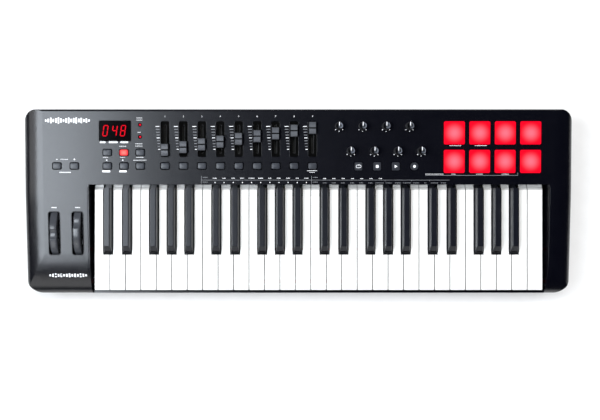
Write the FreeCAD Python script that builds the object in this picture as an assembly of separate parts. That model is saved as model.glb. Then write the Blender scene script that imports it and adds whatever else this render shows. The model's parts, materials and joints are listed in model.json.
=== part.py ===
"""Desktop MIDI controller keyboard with 49 full-size keys, built as separate pieces.

Frame: millimetres, +X to the player's right, +Y to the back, +Z up.
The origin is on the surface that the feet stand on, in the middle of the case's width and very
nearly in the middle of its depth.
The control panel leans towards the player, so its parts are modelled in a panel frame
(x along the panel, v up the slope from the panel's front edge, w out of the surface)
and then carried into the row frame by on_panel().
"""

import FreeCAD, Part
import math
import os

Vec = FreeCAD.Vector
OUT = "parts"
X_AXIS = Vec(1, 0, 0)

# ---------------------------------------------------------------- case
WIDTH = 820.0
HALF_W = WIDTH / 2
FRONT_Y = -139.5
REAR_Y = 136.7
WALL = 2.5
FOOT_HEIGHT = 4.0
SEAM_Z = 30.0  # where the two halves of the case meet
PANEL_FRONT_Y = 24.9
PANEL_FRONT_Z = 76.0
PANEL_SLOPE = 0.0349  # fall of the control panel towards the player
PANEL_TILT = math.degrees(math.atan(PANEL_SLOPE))
CHEEK_SLOPE = 0.098  # fall of the side blocks towards the player
BEND_RUN = 30.0  # the top bends from one slope to the other over this depth
BEND_STEPS = 5
# height that the cheeks' slope, drawn on, reaches at the panel's front
CHEEK_Z = PANEL_FRONT_Z + (CHEEK_SLOPE - PANEL_SLOPE) * BEND_RUN / 2
NOSE_RUN = 60.0  # the cheeks roll over to the front from this far back
NOSE_END_Z = 38.0
NOSE_HANDLE = 0.55
REAR_EDGE_RADIUS = 3.0
FRONT_CORNER_RADIUS = 25.0
REAR_CORNER_RADIUS = 20.0
SHOULDER_RUN = 30.0  # the rounded side edges: width of the roll-off
SHOULDER_DROP = 15.0  # and its fall
FLOOR_TOP = FOOT_HEIGHT + WALL
LIP_BOTTOM_Z = 60.0  # the panel's front edge turns down behind the keys as far as this
SLIP_TOP = 40.0
SLIP_BACK_Y = -135.2

# ---------------------------------------------------------------- keys
OCTAVES = 4
WHITE_COUNT = 7 * OCTAVES + 1
WHITE_PITCH = 23.3
KEYS_CENTRE_X = 30.5
KEYS_LEFT_X = KEYS_CENTRE_X - WHITE_COUNT * WHITE_PITCH / 2
KEYS_RIGHT_X = KEYS_CENTRE_X + WHITE_COUNT * WHITE_PITCH / 2
KEY_GAP = 0.9
SIDE_GAP = 5.3
OPENING_LEFT_X = KEYS_LEFT_X - SIDE_GAP
OPENING_RIGHT_X = KEYS_RIGHT_X + SIDE_GAP
KEY_TOP_Z = 58.0
KEY_FRONT_Y = -133.7
KEY_REAR_Y = 17.8
KEY_STEP = (54.0, 30.0, 46.0)  # a white key drops to a lower step at its rear: top z, rear y, bottom z
KEY_STEP_SLOPE = 4.0
HEAD_REAR_Y = -80.4  # where a white key narrows beside the black keys
SHARP_FRONT_Y = -78.9
SHARP_TOP_FRONT_Y = -67.0
SHARP_REAR_Y = 19.8
SHARP_TOP_Z = 70.0
SHARP_BASE = 13.0
SHARP_TOP = 8.8
SHARP_CLEARANCE = 1.0
SKIN = 2.0
SKIRT = 1.6
HEAD_BOTTOM_Z = 38.0
SKIRT_BOTTOM_Z = 42.0
SHARP_BOTTOM_Z = 36.0
PIVOT_Y = 80.0
PIVOT_Z = 47.5
ROD_RADIUS = 1.5
ROD_CLEARANCE = 0.05
TAIL_PITCH = 7 * WHITE_PITCH / 12
TAIL_WIDTH = 9.0
TAIL_TOP_Z = 53.0
TAIL_END_Y = 87.0
TAIL_START_Y = 15.0
PLUNGER_Y = 22.0
HOOK_Z = (20.5, 22.3)  # the up-stop toe under each key
WHITE_RAIL_Y = -104.5
SHARP_RAIL_Y = -69.5
# the semitones of an octave: white keys as (white slot, semitone), sharps as (boundary, semitone, offset)
WHITE_SEMITONES = [0, 2, 4, 5, 7, 9, 11]
SHARPS = [(1, 1, -2.6), (2, 3, 2.6), (4, 6, -3.3), (5, 8, 0.0), (6, 10, 3.3)]
KEY_SETS = {"ceg_b": [0, 2, 4, 6], "dfa": [1, 3, 5]}

# ---------------------------------------------------------------- keybed
CHASSIS_Z = (7.0, 9.0)
CHASSIS_Y = (-130.0, 92.0)
COMB_THICKNESS = 7.0
RAIL_THICKNESS = 3.0
RAIL_TOP_Z = 27.0
WINDOW_TOP_Z = 24.0
LEDGE_REACH = 4.0
BLADE_TOP_Z = 35.5
FELT = 1.5
BOARD = 1.6
CONTACT_BOARD_Z = 17.0
CONTACT_BOARD_Y = (8.0, 36.0)
DOME_HEIGHT = 5.0
SHELF_TOP_Z = 26.5

# ---------------------------------------------------------------- control panel
FADER_COUNT = 9
FADER_PITCH = 27.4
FADER_CENTRE_X = -88.5
FADER_V = 67.4
FADER_TRAVEL = 32.4
FADER_RECESS = (12.6, 52.8)
FADER_SLOT = (4.2, 43.0)
FADER_CAP = (10.2, 17.8, 9.0)
FADER_GROOVE = 0.9
RECESS_DEPTH = 1.2
KNOB_PITCH = 34.85
KNOB_X = 60.6
KNOB_ROWS_V = (86.6, 49.9)
KNOB_RADII = (6.2, 5.5)
KNOB_HEIGHT = 14.0
SHAFT_RADIUS = 3.0
BUTTON_V = 27.5
BUTTON_CAP = (12.3, 9.2)
BUTTON_HOLE = (14.6, 11.4)
BUTTON_RISE = 1.8
BUTTON_FLANGE = (16.6, 13.4)
OCTAVE_X = (-359.0, -333.0)
EDIT_X = (-283.9, -259.2, -234.9)
EDIT_ROWS_V = (47.4, BUTTON_V)
TRANSPORT_X = 89.6
TRANSPORT_PITCH = 27.7
TRANSPORT_V = 26.9
TRANSPORT_CAP = (11.4, 12.4)
TRANSPORT_GAP = 0.6
DISPLAY_X = -272.3
DISPLAY_V = 79.5
DISPLAY_SIZE = (47.4, 30.0)
LED_X = -235.2
LED_ROWS_V = (88.6, 70.7)
LED_RADIUS = 1.5
PAD_X = 231.7
PAD_PITCH = 37.8
PAD_ROWS_V = (76.6, 34.3)
PAD_SIZE = (31.2, 34.4)
PAD_RISE = 1.8
PAD_GAP = 0.45
BOARD_W = -14.1  # underside of the main board below the panel surface
BOARD_TOP_W = BOARD_W + BOARD
MAIN_BOARD_X = (-371.0, 205.0)
MAIN_BOARD_V = (4.5, 100.0)
PAD_BOARD_X = (206.5, 372.0)
PAD_BOARD_LENGTH = 84.0
PAD_BOARD_W = -9.6
RIBBON = 0.6

# ---------------------------------------------------------------- wheels
WHEEL_X = (-364.7, -329.9)
WHEEL_Y = -48.0
WHEEL_RADIUS = 42.0
WHEEL_WIDTH = 10.5
WHEEL_RISE = 11.0
WHEEL_SLOT = (16.0, 63.6)
WHEEL_SECTOR = 78.0  # half angle of the rim that is kept
WHEEL_NOTCH_RADIUS = 13.5
WHEEL_NOTCH_DEPTH = 3.5
WHEEL_AXIS_Y = WHEEL_Y + CHEEK_SLOPE * (WHEEL_RADIUS - WHEEL_RISE)
WHEEL_Z = CHEEK_Z - CHEEK_SLOPE * (PANEL_FRONT_Y - WHEEL_Y) + WHEEL_RISE - WHEEL_RADIUS
PITCH_REST_ANGLE = math.degrees(math.atan(CHEEK_SLOPE))  # its notch stands square to the case
MOD_REST_ANGLE = -17.3  # the modulation wheel stands turned away from the player
PLATE = 3.0
BRACKET_BASE = 2.5
SHAFT_GAP = 0.1
PITCH_PEG_Z = -9.0  # the peg and the bracket's tab stand between the spring's legs
SPRING_TAB_Z = -20.0
SPRING_LEG = 1.2
BRACKET_PLATES_X = (-376.0, -356.0, -341.5, -321.5)
WHEEL_SHAFT = 3.0
WHEEL_TIP = 2.0
RUNNING = 0.05

# ---------------------------------------------------------------- rear sockets
REAR_Z = 52.0
POWER_X = -320.0
USB_X = -285.0
JACK_X = -245.0
LOCK_X = 380.0
POWER_SIZE = (21.0, 15.0)
ROCKER_SIZE = (16.0, 10.6)
USB_SIZE = (12.0, 11.0)
SOCKET_BOARD_Z = 44.5  # top of the small board that carries the rear sockets
SOCKET_BOARD_X = (-335.0, -230.0)
SOCKET_BOARD_Y = (100.2, 133.2)
USB_MOUTH = (8.5, 7.8)
USB_FACE_Y = REAR_Y - 4.5
USB_DEPTH = 16.0
USB_WELL = 1.8
JACK_BORE = 3.25
JACK_SLEEVE = 5.0
JACK_FACE_Y = REAR_Y - 0.2
JACK_BORE_LENGTH = 30.0

# ---------------------------------------------------------------- fasteners and feet
SCREW_CORNERS = [(x, y) for x in (-392, 392) for y in (-108, 108)]
SCREW_POINTS = SCREW_CORNERS + [(x, 129.8) for x in (-150, 50, 215)]
BOSS_RADIUS = 4.0
POST_RADIUS = 6.0
SCREW_RADIUS = 1.3
SCREW_CLEARANCE = 1.9
SCREW_HEAD = (3.4, 2.4)
SCREW_TOP_Z = 46.0
FOOT_POINTS = [(x, y) for x in (-372, 0, 372) for y in (-112, 112)]
FOOT_RADIUS = 9.0
# moulded stakes that are pushed through a board or plate and flattened over
STAKE_RADIUS = 1.5
STAKE_HEAD = (2.5, 1.2)
CHASSIS_STAKES = [(KEYS_LEFT_X + 24 + i * 125, y) for y in (-90.0, 88.5) for i in range(6)]
BRACKET_STAKES = [(x, WHEEL_AXIS_Y + y) for x in (-364.5, -330.0) for y in (-18.0, 18.0)]
SOCKET_STAKES = [(-331.0, 107.2), (-302.0, 107.2), (-265.0, 107.2), (-233.5, 128.2)]
MAIN_STAKES = [(x, v) for x in (-362.0, -215.0, -102.2, 34.0, 195.0) for v in (15.5, 96.5)]
PAD_STAKES = [(x, v) for x in (209.5, 369.0) for v in (17.0, 94.0)]


# ================================================================ building blocks
def box(x, y, z):
    """A block between pairs of limits."""
    return Part.makeBox(x[1] - x[0], y[1] - y[0], z[1] - z[0], Vec(x[0], y[0], z[0]))


def about(centre, size):
    """Limits of a span of that size around a centre."""
    return (centre - size / 2, centre + size / 2)


def slab(centre, size, z, radius):
    """A block with rounded upright corners."""
    solid = box(about(centre[0], size[0]), about(centre[1], size[1]), z)
    upright = [e for e in solid.Edges if abs(e.tangentAt(e.FirstParameter).z) > 0.9]
    return solid.makeFillet(radius, upright)


def rod(start, end, radius):
    """A cylinder between two points."""
    return Part.makeCylinder(radius, (end - start).Length, start, end - start)


def extrude_yz(points, x):
    """A Y-Z outline carried along X."""
    loop = [Vec(x[0], y, z) for y, z in points]
    face = Part.Face(Part.makePolygon(loop + loop[:1]))
    return face.extrude(Vec(x[1] - x[0], 0, 0))


def join(shapes):
    shapes = list(shapes)
    return shapes[0].multiFuse(shapes[1:]).removeSplitter() if len(shapes) > 1 else shapes[0]


def group(shapes):
    """Separate solids kept together in one node."""
    return Part.makeCompound(list(shapes))


def on_panel(shape):
    """Carries a shape from the panel frame (x, v, w) into the row frame."""
    turned = shape.copy()
    turned.rotate(Vec(0, 0, 0), X_AXIS, PANEL_TILT)
    turned.translate(Vec(0, PANEL_FRONT_Y, PANEL_FRONT_Z))
    return turned


def save(name, shape):
    for solid in shape.Solids:
        if not solid.isValid() or solid.Volume <= 0:
            raise ValueError(f"{name} holds a bad solid")
    whole = shape.Solids[0] if len(shape.Solids) == 1 else Part.makeCompound(shape.Solids)
    whole.exportStep(os.path.join(OUT, f"{name}.step"))


def stakes(points, low, plate, radius):
    """Posts that stand under a plate (its bottom and top levels) with flattened tips over it."""
    made = []
    for a, b in points:
        if plate[0] > low:
            made.append(rod(Vec(a, b, low), Vec(a, b, plate[0]), radius))
        made.append(rod(Vec(a, b, plate[0] - 0.5), Vec(a, b, plate[1] + 0.2), STAKE_RADIUS))
        made.append(rod(Vec(a, b, plate[1]), Vec(a, b, plate[1] + STAKE_HEAD[1]), STAKE_HEAD[0]))
    return made


def stake_holes(points, z):
    return [rod(Vec(a, b, z[0] - 1), Vec(a, b, z[1] + 1), STAKE_RADIUS) for a, b in points]


def hanging_stakes(points, board_w):
    """Posts under the control panel that carry a board, in the panel frame."""
    made = []
    for x, v in points:
        made.append(rod(Vec(x, v, 0.5 - WALL), Vec(x, v, board_w + BOARD), BOSS_RADIUS - 1.0))
        made.append(rod(Vec(x, v, board_w + BOARD), Vec(x, v, board_w - 0.2), STAKE_RADIUS))
        made.append(rod(Vec(x, v, board_w), Vec(x, v, board_w - STAKE_HEAD[1]), STAKE_HEAD[0]))
    return [on_panel(m) for m in made]


# ================================================================ case
def section(inset, y, top_z):
    """The case across its width at one depth: flat on top, with elliptical shoulders."""
    low = -20.0
    half = HALF_W - inset
    top = top_z - inset
    run = SHOULDER_RUN - inset
    left = Vec(-half + run, y, top - SHOULDER_DROP)
    right = Vec(half - run, y, top - SHOULDER_DROP)
    up = Vec(0, 0, SHOULDER_DROP)
    ellipse_l = Part.Ellipse(left + Vec(-run, 0, 0), left + up, left)
    ellipse_r = Part.Ellipse(right + Vec(run, 0, 0), right + up, right)
    arc_l = Part.ArcOfEllipse(ellipse_l, 0, math.pi / 2)
    arc_r = Part.ArcOfEllipse(ellipse_r, 0, math.pi / 2)
    corners = [
        Vec(-half, y, low),
        left + Vec(-run, 0, 0),
        left + up,
        right + up,
        right + Vec(run, 0, 0),
        Vec(half, y, low),
    ]
    edges = [
        Part.LineSegment(corners[0], corners[1]).toShape(),
        arc_l.toShape(),
        Part.LineSegment(corners[2], corners[3]).toShape(),
        arc_r.toShape(),
        Part.LineSegment(corners[4], corners[5]).toShape(),
        Part.LineSegment(corners[5], corners[0]).toShape(),
    ]
    return Part.Face(Part.Wire(Part.__sortEdges__(edges)))


def side_outline(inset):
    """The case from the side, as a solid wider than the case: it rounds the nose and the rear edge."""
    low = -20.0
    high = 120.0
    x = -HALF_W - 10
    front = FRONT_Y + inset
    rear = REAR_Y - inset
    nose_y = FRONT_Y + NOSE_RUN
    nose_top = Vec(x, nose_y, CHEEK_Z - inset + CHEEK_SLOPE * (nose_y - PANEL_FRONT_Y))
    nose_end = Vec(x, front, NOSE_END_Z)
    reach = NOSE_HANDLE * (nose_y - front)
    nose = Part.BezierCurve()
    nose.setPoles([
        nose_top,
        nose_top + Vec(0, -reach, -CHEEK_SLOPE * reach),
        nose_end + Vec(0, 0, NOSE_HANDLE * (nose_top.z - NOSE_END_Z)),
        nose_end,
    ])
    edge = REAR_EDGE_RADIUS
    tilt = math.radians(PANEL_TILT)
    edge_y = rear - edge
    edge_z = PANEL_FRONT_Z - inset + PANEL_SLOPE * (edge_y - PANEL_FRONT_Y) - edge / math.cos(tilt)

    def on_edge(angle):
        return Vec(x, edge_y + edge * math.cos(angle), edge_z + edge * math.sin(angle))

    edge_angle = math.pi / 2 + tilt
    edge_arc = Part.Arc(on_edge(0), on_edge(edge_angle / 2), on_edge(edge_angle))
    edge_top = edge_arc.EndPoint
    above = [edge_top, Vec(x, edge_top.y, high), Vec(x, nose_top.y, high), nose_top]
    foot = [nose_end, Vec(x, front, low), Vec(x, rear, low), edge_arc.StartPoint]
    edges = [Part.LineSegment(a, b).toShape() for a, b in zip(above, above[1:])]
    edges += [Part.LineSegment(a, b).toShape() for a, b in zip(foot, foot[1:])]
    edges += [nose.toShape(), edge_arc.toShape()]
    face = Part.Face(Part.Wire(Part.__sortEdges__(edges)))
    return face.extrude(Vec(WIDTH + 20, 0, 0))


def case_plan(inset, z):
    """The case from above, between two heights."""
    solid = box((-HALF_W + inset, HALF_W - inset), (FRONT_Y + inset, REAR_Y - inset), z)
    for radius, end_y in ((FRONT_CORNER_RADIUS, FRONT_Y + inset), (REAR_CORNER_RADIUS, REAR_Y - inset)):
        upright = [e for e in solid.Edges if abs(e.tangentAt(e.FirstParameter).z) > 0.9]
        corners = [e for e in upright if abs(e.BoundBox.Center.y - end_y) < 0.1]
        solid = solid.makeFillet(radius - inset, corners)
    return solid


def case_form(inset):
    """The outer form of the whole case, or the space inside it when inset by a wall."""
    reach = REAR_Y - FRONT_Y
    bend = [PANEL_SLOPE + (CHEEK_SLOPE - PANEL_SLOPE) * (i + 0.5) / BEND_STEPS for i in range(BEND_STEPS)]
    stretches = [(reach - PANEL_FRONT_Y, PANEL_SLOPE)]
    stretches += [(BEND_RUN / BEND_STEPS, slope) for slope in bend]
    stretches.append((reach + PANEL_FRONT_Y - BEND_RUN, CHEEK_SLOPE))
    y = reach
    z = PANEL_FRONT_Z + PANEL_SLOPE * stretches[0][0]
    lengths = []
    for run, slope in stretches:
        lengths.append(section(inset, y, z).extrude(Vec(0, -run, -slope * run)))
        y -= run
        z -= slope * run
    return join(lengths).common(case_plan(inset, (-10, 130))).common(side_outline(inset))


def panel_cutters():
    """Everything that is cut out of the control panel, in the panel frame."""
    deep = (-WALL - 3, 3)
    cutters = []
    for i in range(FADER_COUNT):
        x = fader_x(i)
        cutters.append(slab((x, FADER_V), FADER_RECESS, (-RECESS_DEPTH, 3), 2.5))
        cutters.append(slab((x, FADER_V), FADER_SLOT, deep, 1.5))
    cutters += [slab(place, BUTTON_HOLE, deep, 2.8) for place in button_places()]
    cutters.append(slab((DISPLAY_X, DISPLAY_V), DISPLAY_SIZE, deep, 1.2))
    cutters += [rod(Vec(LED_X, v, deep[0]), Vec(LED_X, v, deep[1]), LED_RADIUS + 0.2) for v in LED_ROWS_V]
    cutters += [rod(Vec(x, v, deep[0]), Vec(x, v, deep[1]), SHAFT_RADIUS + 0.6) for x, v in knob_places()]
    for i in range(4):
        cutters.append(transport_form(i, TRANSPORT_GAP, deep))
    size = (PAD_SIZE[0] + 2 * PAD_GAP, PAD_SIZE[1] + 2 * PAD_GAP)
    cutters += [slab(place, size, deep, 2.6) for place in pad_places()]
    return [on_panel(c) for c in cutters]


def rear_cutters():
    through = (REAR_Y - WALL - 6, REAR_Y + 5)
    cutters = [
        box(about(POWER_X, POWER_SIZE[0] + 0.4), through, about(REAR_Z, POWER_SIZE[1] + 0.4)),
        box(about(USB_X, USB_SIZE[0] + 0.4), through, about(REAR_Z, USB_SIZE[1] + 0.4)),
        rod(Vec(JACK_X, through[0], REAR_Z), Vec(JACK_X, through[1], REAR_Z), JACK_SLEEVE + 0.2),
        box(about(LOCK_X, 7.0), through, about(REAR_Z, 3.0)),
    ]
    return cutters


def screw_bosses(outer):
    bosses = []
    for x, y in SCREW_POINTS:
        boss = rod(Vec(x, y, SEAM_Z), Vec(x, y, 95), BOSS_RADIUS).common(outer)
        pilot = rod(Vec(x, y, SEAM_Z - 1), Vec(x, y, SCREW_TOP_Z), SCREW_RADIUS)
        bosses.append(boss.cut(pilot))
    return bosses


def usb_well():
    """A well round the USB socket. Its back takes the push of the plug."""
    clearance = 0.2
    back = USB_FACE_Y - USB_DEPTH - clearance
    roof = REAR_Z + USB_SIZE[1] / 2 + clearance
    outer_y = (back - USB_WELL, REAR_Y - 1)
    outer_z = (SOCKET_BOARD_Z + clearance, roof + USB_WELL)
    well = box(about(USB_X, USB_SIZE[0] + 2 * (clearance + USB_WELL)), outer_y, outer_z)
    room = box(about(USB_X, USB_SIZE[0] + 2 * clearance), (back, USB_FACE_Y + clearance), (0, roof))
    return well.cut(room)


def top_housing():
    outer = case_form(0)
    shell = outer.cut(case_form(WALL))
    above_seam = box((-500, 500), (-300, 300), (SEAM_Z, 150))
    shell = shell.common(above_seam)
    opening_x = (OPENING_LEFT_X, OPENING_RIGHT_X)
    opening = [
        box(opening_x, (-200, PANEL_FRONT_Y), (SLIP_TOP, 150)),
        box(opening_x, (SLIP_BACK_Y, PANEL_FRONT_Y), (0, 150)),
    ]
    shell = shell.cut(group(opening))
    walls_y = (FRONT_Y, PANEL_FRONT_Y + WALL)
    walls_z = (SEAM_Z, 150)
    lip_x = (OPENING_LEFT_X - WALL, OPENING_RIGHT_X + WALL)
    walls = [
        box((OPENING_LEFT_X - WALL, OPENING_LEFT_X), walls_y, walls_z).common(outer),
        box((OPENING_RIGHT_X, OPENING_RIGHT_X + WALL), walls_y, walls_z).common(outer),
        box(lip_x, (PANEL_FRONT_Y, PANEL_FRONT_Y + WALL), (LIP_BOTTOM_Z, 150)).common(outer),
        box(
            (OPENING_LEFT_X - 1, OPENING_RIGHT_X + 1),
            (FRONT_Y + 1, SLIP_BACK_Y),
            (SLIP_TOP - 4, SLIP_TOP),
        ),
        usb_well(),
    ]
    hung = hanging_stakes(MAIN_STAKES, BOARD_W) + hanging_stakes(PAD_STAKES, PAD_BOARD_W)
    shell = shell.multiFuse(walls + screw_bosses(outer) + hung)
    wheel_slots = [slab((x, WHEEL_Y), WHEEL_SLOT, (55, 90), 3.0) for x in WHEEL_X]
    cutters = panel_cutters() + rear_cutters() + wheel_slots
    return shell.cut(group(cutters)).removeSplitter()


def bottom_housing():
    tray = case_plan(0, (FOOT_HEIGHT, SEAM_Z))
    rim = [e for e in tray.Edges if abs(e.BoundBox.ZMax - FOOT_HEIGHT) < 0.01]
    tray = tray.makeChamfer(3.0, rim)
    tray = tray.cut(case_plan(WALL, (FLOOR_TOP, SEAM_Z + 1)))
    extras = [rod(Vec(x, y, FOOT_HEIGHT), Vec(x, y, SEAM_Z), POST_RADIUS) for x, y in SCREW_POINTS]
    # low ribs that carry the keybed, and a rib either side of it
    for i in range(8):
        x = KEYS_LEFT_X + 12 + i * (WHITE_COUNT * WHITE_PITCH - 24) / 7
        extras.append(box(about(x, 2.0), (-126, 88), (FLOOR_TOP - 0.5, CHASSIS_Z[0])))
    for x in (OPENING_LEFT_X - 1.2, OPENING_RIGHT_X + 1.2):
        extras.append(box(about(x, 2.0), (FRONT_Y + 2, PANEL_FRONT_Y), (FLOOR_TOP - 0.5, SEAM_Z)))
    low = FLOOR_TOP - 0.5
    extras += stakes(CHASSIS_STAKES, low, CHASSIS_Z, BOSS_RADIUS)
    extras += stakes(BRACKET_STAKES, low, (FLOOR_TOP, FLOOR_TOP + BRACKET_BASE), BOSS_RADIUS)
    extras += stakes(SOCKET_STAKES, low, (SOCKET_BOARD_Z - BOARD, SOCKET_BOARD_Z), 3.0)
    tray = tray.multiFuse(extras)
    holes = []
    for x, y in SCREW_POINTS:
        holes.append(rod(Vec(x, y, 0), Vec(x, y, SEAM_Z + 1), SCREW_CLEARANCE))
        holes.append(rod(Vec(x, y, 0), Vec(x, y, FOOT_HEIGHT + SCREW_HEAD[1] + 2.0), SCREW_HEAD[0] + 0.6))
    return tray.cut(group(holes)).removeSplitter()


def case_screws():
    """Pan-head screws that come up through the lower posts into the upper bosses."""
    head_z = FOOT_HEIGHT + 2.0
    screws = []
    for x, y in SCREW_POINTS:
        head = rod(Vec(x, y, head_z), Vec(x, y, head_z + SCREW_HEAD[1]), SCREW_HEAD[0])
        shank = rod(Vec(x, y, head_z + SCREW_HEAD[1]), Vec(x, y, SCREW_TOP_Z - 1), SCREW_RADIUS)
        cross = [box(about(x, 3.6), about(y, 0.8), (head_z - 1, head_z + 1.2)),
                 box(about(x, 0.8), about(y, 3.6), (head_z - 1, head_z + 1.2))]
        screws.append(head.fuse(shank).cut(group(cross)).removeSplitter())
    return group(screws)


def rubber_feet():
    feet = []
    for x, y in FOOT_POINTS:
        foot = rod(Vec(x, y, 0), Vec(x, y, FOOT_HEIGHT), FOOT_RADIUS)
        rim = [e for e in foot.Edges if e.BoundBox.ZMax < 0.01]
        feet.append(foot.makeFillet(1.0, rim))
    return group(feet)


# ================================================================ keys
def tail_x(octave, semitone):
    return KEYS_LEFT_X + (octave * 12 + semitone + 0.5) * TAIL_PITCH


def white_left(octave, slot):
    return KEYS_LEFT_X + (octave * 7 + slot) * WHITE_PITCH


def sharp_axis(octave, sharp):
    boundary, _, offset = sharp
    return KEYS_LEFT_X + (octave * 7 + boundary) * WHITE_PITCH + offset


def tail_parts(x):
    """The arm under the panel that every key turns on, with the plunger that works its contact."""
    arm = box(about(x, TAIL_WIDTH), (TAIL_START_Y, TAIL_END_Y), (SKIRT_BOTTOM_Z, TAIL_TOP_Z))
    plunger_z = (CONTACT_BOARD_Z + BOARD + 1 + DOME_HEIGHT + 0.3, SKIRT_BOTTOM_Z + 1)
    plunger = box(about(x, 5.0), about(PLUNGER_Y, 4.0), plunger_z)
    return [arm, plunger]


def hook(x, rail_y, roof_z):
    """The toe that stops the key against the felt under its rail."""
    stem = box(about(x, 8.0), (rail_y + 3.5, rail_y + 6.5), (HOOK_Z[0], roof_z))
    toe = box(about(x, 8.0), (rail_y - 5.5, rail_y + 6.5), HOOK_Z)
    return [stem, toe]


def pivot_bore(x):
    return rod(Vec(x - 10, PIVOT_Y, PIVOT_Z), Vec(x + 10, PIVOT_Y, PIVOT_Z), ROD_RADIUS + ROD_CLEARANCE)


def narrow_limits(octave, slot):
    """How far a white key reaches sideways between the black keys."""
    left = white_left(octave, slot) + KEY_GAP / 2
    right = white_left(octave, slot) + WHITE_PITCH - KEY_GAP / 2
    reach = SHARP_BASE / 2 + SHARP_CLEARANCE
    for sharp in SHARPS:
        axis = sharp_axis(octave, sharp)
        if octave == OCTAVES:
            continue
        if sharp[0] == slot:
            left = axis + reach
        if sharp[0] == slot + 1:
            right = axis - reach
    return left, right


def rear_step(x):
    """The slope and lower step that carry a white key's top on under the panel's front edge."""
    step_z, step_y, low_z = KEY_STEP
    slope_end = KEY_REAR_Y + KEY_STEP_SLOPE
    outline = [
        (KEY_REAR_Y, KEY_TOP_Z),
        (slope_end, step_z),
        (step_y, step_z),
        (step_y, low_z),
        (KEY_REAR_Y, low_z),
    ]
    return extrude_yz(outline, x)


def white_key(octave, slot):
    left = white_left(octave, slot) + KEY_GAP / 2
    right = left + WHITE_PITCH - KEY_GAP
    near, far = narrow_limits(octave, slot)
    x = tail_x(octave, WHITE_SEMITONES[slot])
    head = box((left, right), (KEY_FRONT_Y, HEAD_REAR_Y), (HEAD_BOTTOM_Z, KEY_TOP_Z))
    neck = box((near, far), (HEAD_REAR_Y - 1, KEY_REAR_Y), (SKIRT_BOTTOM_Z, KEY_TOP_Z))
    body = head.fuse(neck).removeSplitter()
    upright = [e for e in body.Edges if abs(e.tangentAt(e.FirstParameter).z) > 0.9]
    front = [e for e in upright if e.BoundBox.YMax < KEY_FRONT_Y + 0.1]
    body = body.makeFillet(1.4, front)
    rim = [e for e in body.Edges if e.BoundBox.ZMin > KEY_TOP_Z - 0.05]
    body = body.makeFillet(0.7, rim)
    roof_z = KEY_TOP_Z - SKIN
    hollows = [
        box((left + SKIRT, right - SKIRT), (KEY_FRONT_Y + SKIN, HEAD_REAR_Y - SKIRT), (0, roof_z)),
        box((near + SKIRT, far - SKIRT), (HEAD_REAR_Y - SKIRT - 1, TAIL_START_Y), (0, roof_z)),
    ]
    body = body.cut(group(hollows))
    centre = (left + right) / 2
    parts = [body, rear_step((near, far))] + tail_parts(x) + hook(centre, WHITE_RAIL_Y, roof_z + 1)
    return join(parts).cut(pivot_bore(x))


def tapered_block(x, base, top, z):
    """A block whose four sides lean in: base and top are (width, front y, rear y)."""
    loops = []
    for (width, front, rear), level in ((base, z[0]), (top, z[1])):
        left, right = about(x, width)
        corners = [(left, front), (right, front), (right, rear), (left, rear)]
        loop = [Vec(a, b, level) for a, b in corners]
        loops.append(Part.makePolygon(loop + loop[:1]))
    return Part.makeLoft(loops, True, True)


def black_key(octave, sharp):
    axis = sharp_axis(octave, sharp)
    x = tail_x(octave, sharp[1])
    shoulder_z = KEY_TOP_Z - 1.0
    skirt = box(about(axis, SHARP_BASE), (SHARP_FRONT_Y, SHARP_REAR_Y), (SHARP_BOTTOM_Z, shoulder_z))
    base = (SHARP_BASE, SHARP_FRONT_Y, SHARP_REAR_Y)
    top = (SHARP_TOP, SHARP_TOP_FRONT_Y, SHARP_REAR_Y)
    crown = tapered_block(axis, base, top, (shoulder_z, SHARP_TOP_Z))
    high = [e for e in crown.Edges if e.BoundBox.ZMax > SHARP_TOP_Z - 0.05]
    rim = [e for e in high if e.BoundBox.YMin < SHARP_REAR_Y - 1]
    body = skirt.fuse(crown.makeFillet(1.3, rim))
    roof_z = SHARP_TOP_Z - 9.0
    wide, narrow = about(axis, SHARP_BASE - 2 * SKIRT), about(axis, SHARP_TOP - 2 * SKIN)
    hollow = box(wide, (SHARP_FRONT_Y + SKIN, TAIL_START_Y), (0, roof_z))
    upper = box(narrow, (SHARP_TOP_FRONT_Y + SKIN, TAIL_START_Y), (0, SHARP_TOP_Z - SKIN))
    parts = [body.cut(hollow).cut(upper)] + tail_parts(x) + hook(axis, SHARP_RAIL_Y, roof_z + 1)
    return join(parts).cut(pivot_bore(x))


def key_nodes():
    """Keys in moulded sets, octave by octave: C-E-G-B, D-F-A and the sharps.

    The top C goes with the last set.
    """
    nodes = {}
    for octave in range(OCTAVES):
        for name, slots in KEY_SETS.items():
            keys = [white_key(octave, slot) for slot in slots]
            if octave == OCTAVES - 1 and name == "ceg_b":
                keys.append(white_key(OCTAVES, 0))
            nodes[f"white_keys_{octave + 1}_{name}"] = group(keys)
        nodes[f"black_keys_{octave + 1}"] = group([black_key(octave, sharp) for sharp in SHARPS])
    return nodes


def every_tail():
    tails = [tail_x(octave, semitone) for octave in range(OCTAVES) for semitone in range(12)]
    return tails + [tail_x(OCTAVES, 0)]


def white_centres():
    return [KEYS_LEFT_X + (i + 0.5) * WHITE_PITCH for i in range(WHITE_COUNT)]


def sharp_axes():
    return [sharp_axis(octave, sharp) for octave in range(OCTAVES) for sharp in SHARPS]


# ================================================================ keybed
BED_X = (KEYS_LEFT_X - 1.0, KEYS_RIGHT_X + 1.0)


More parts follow.
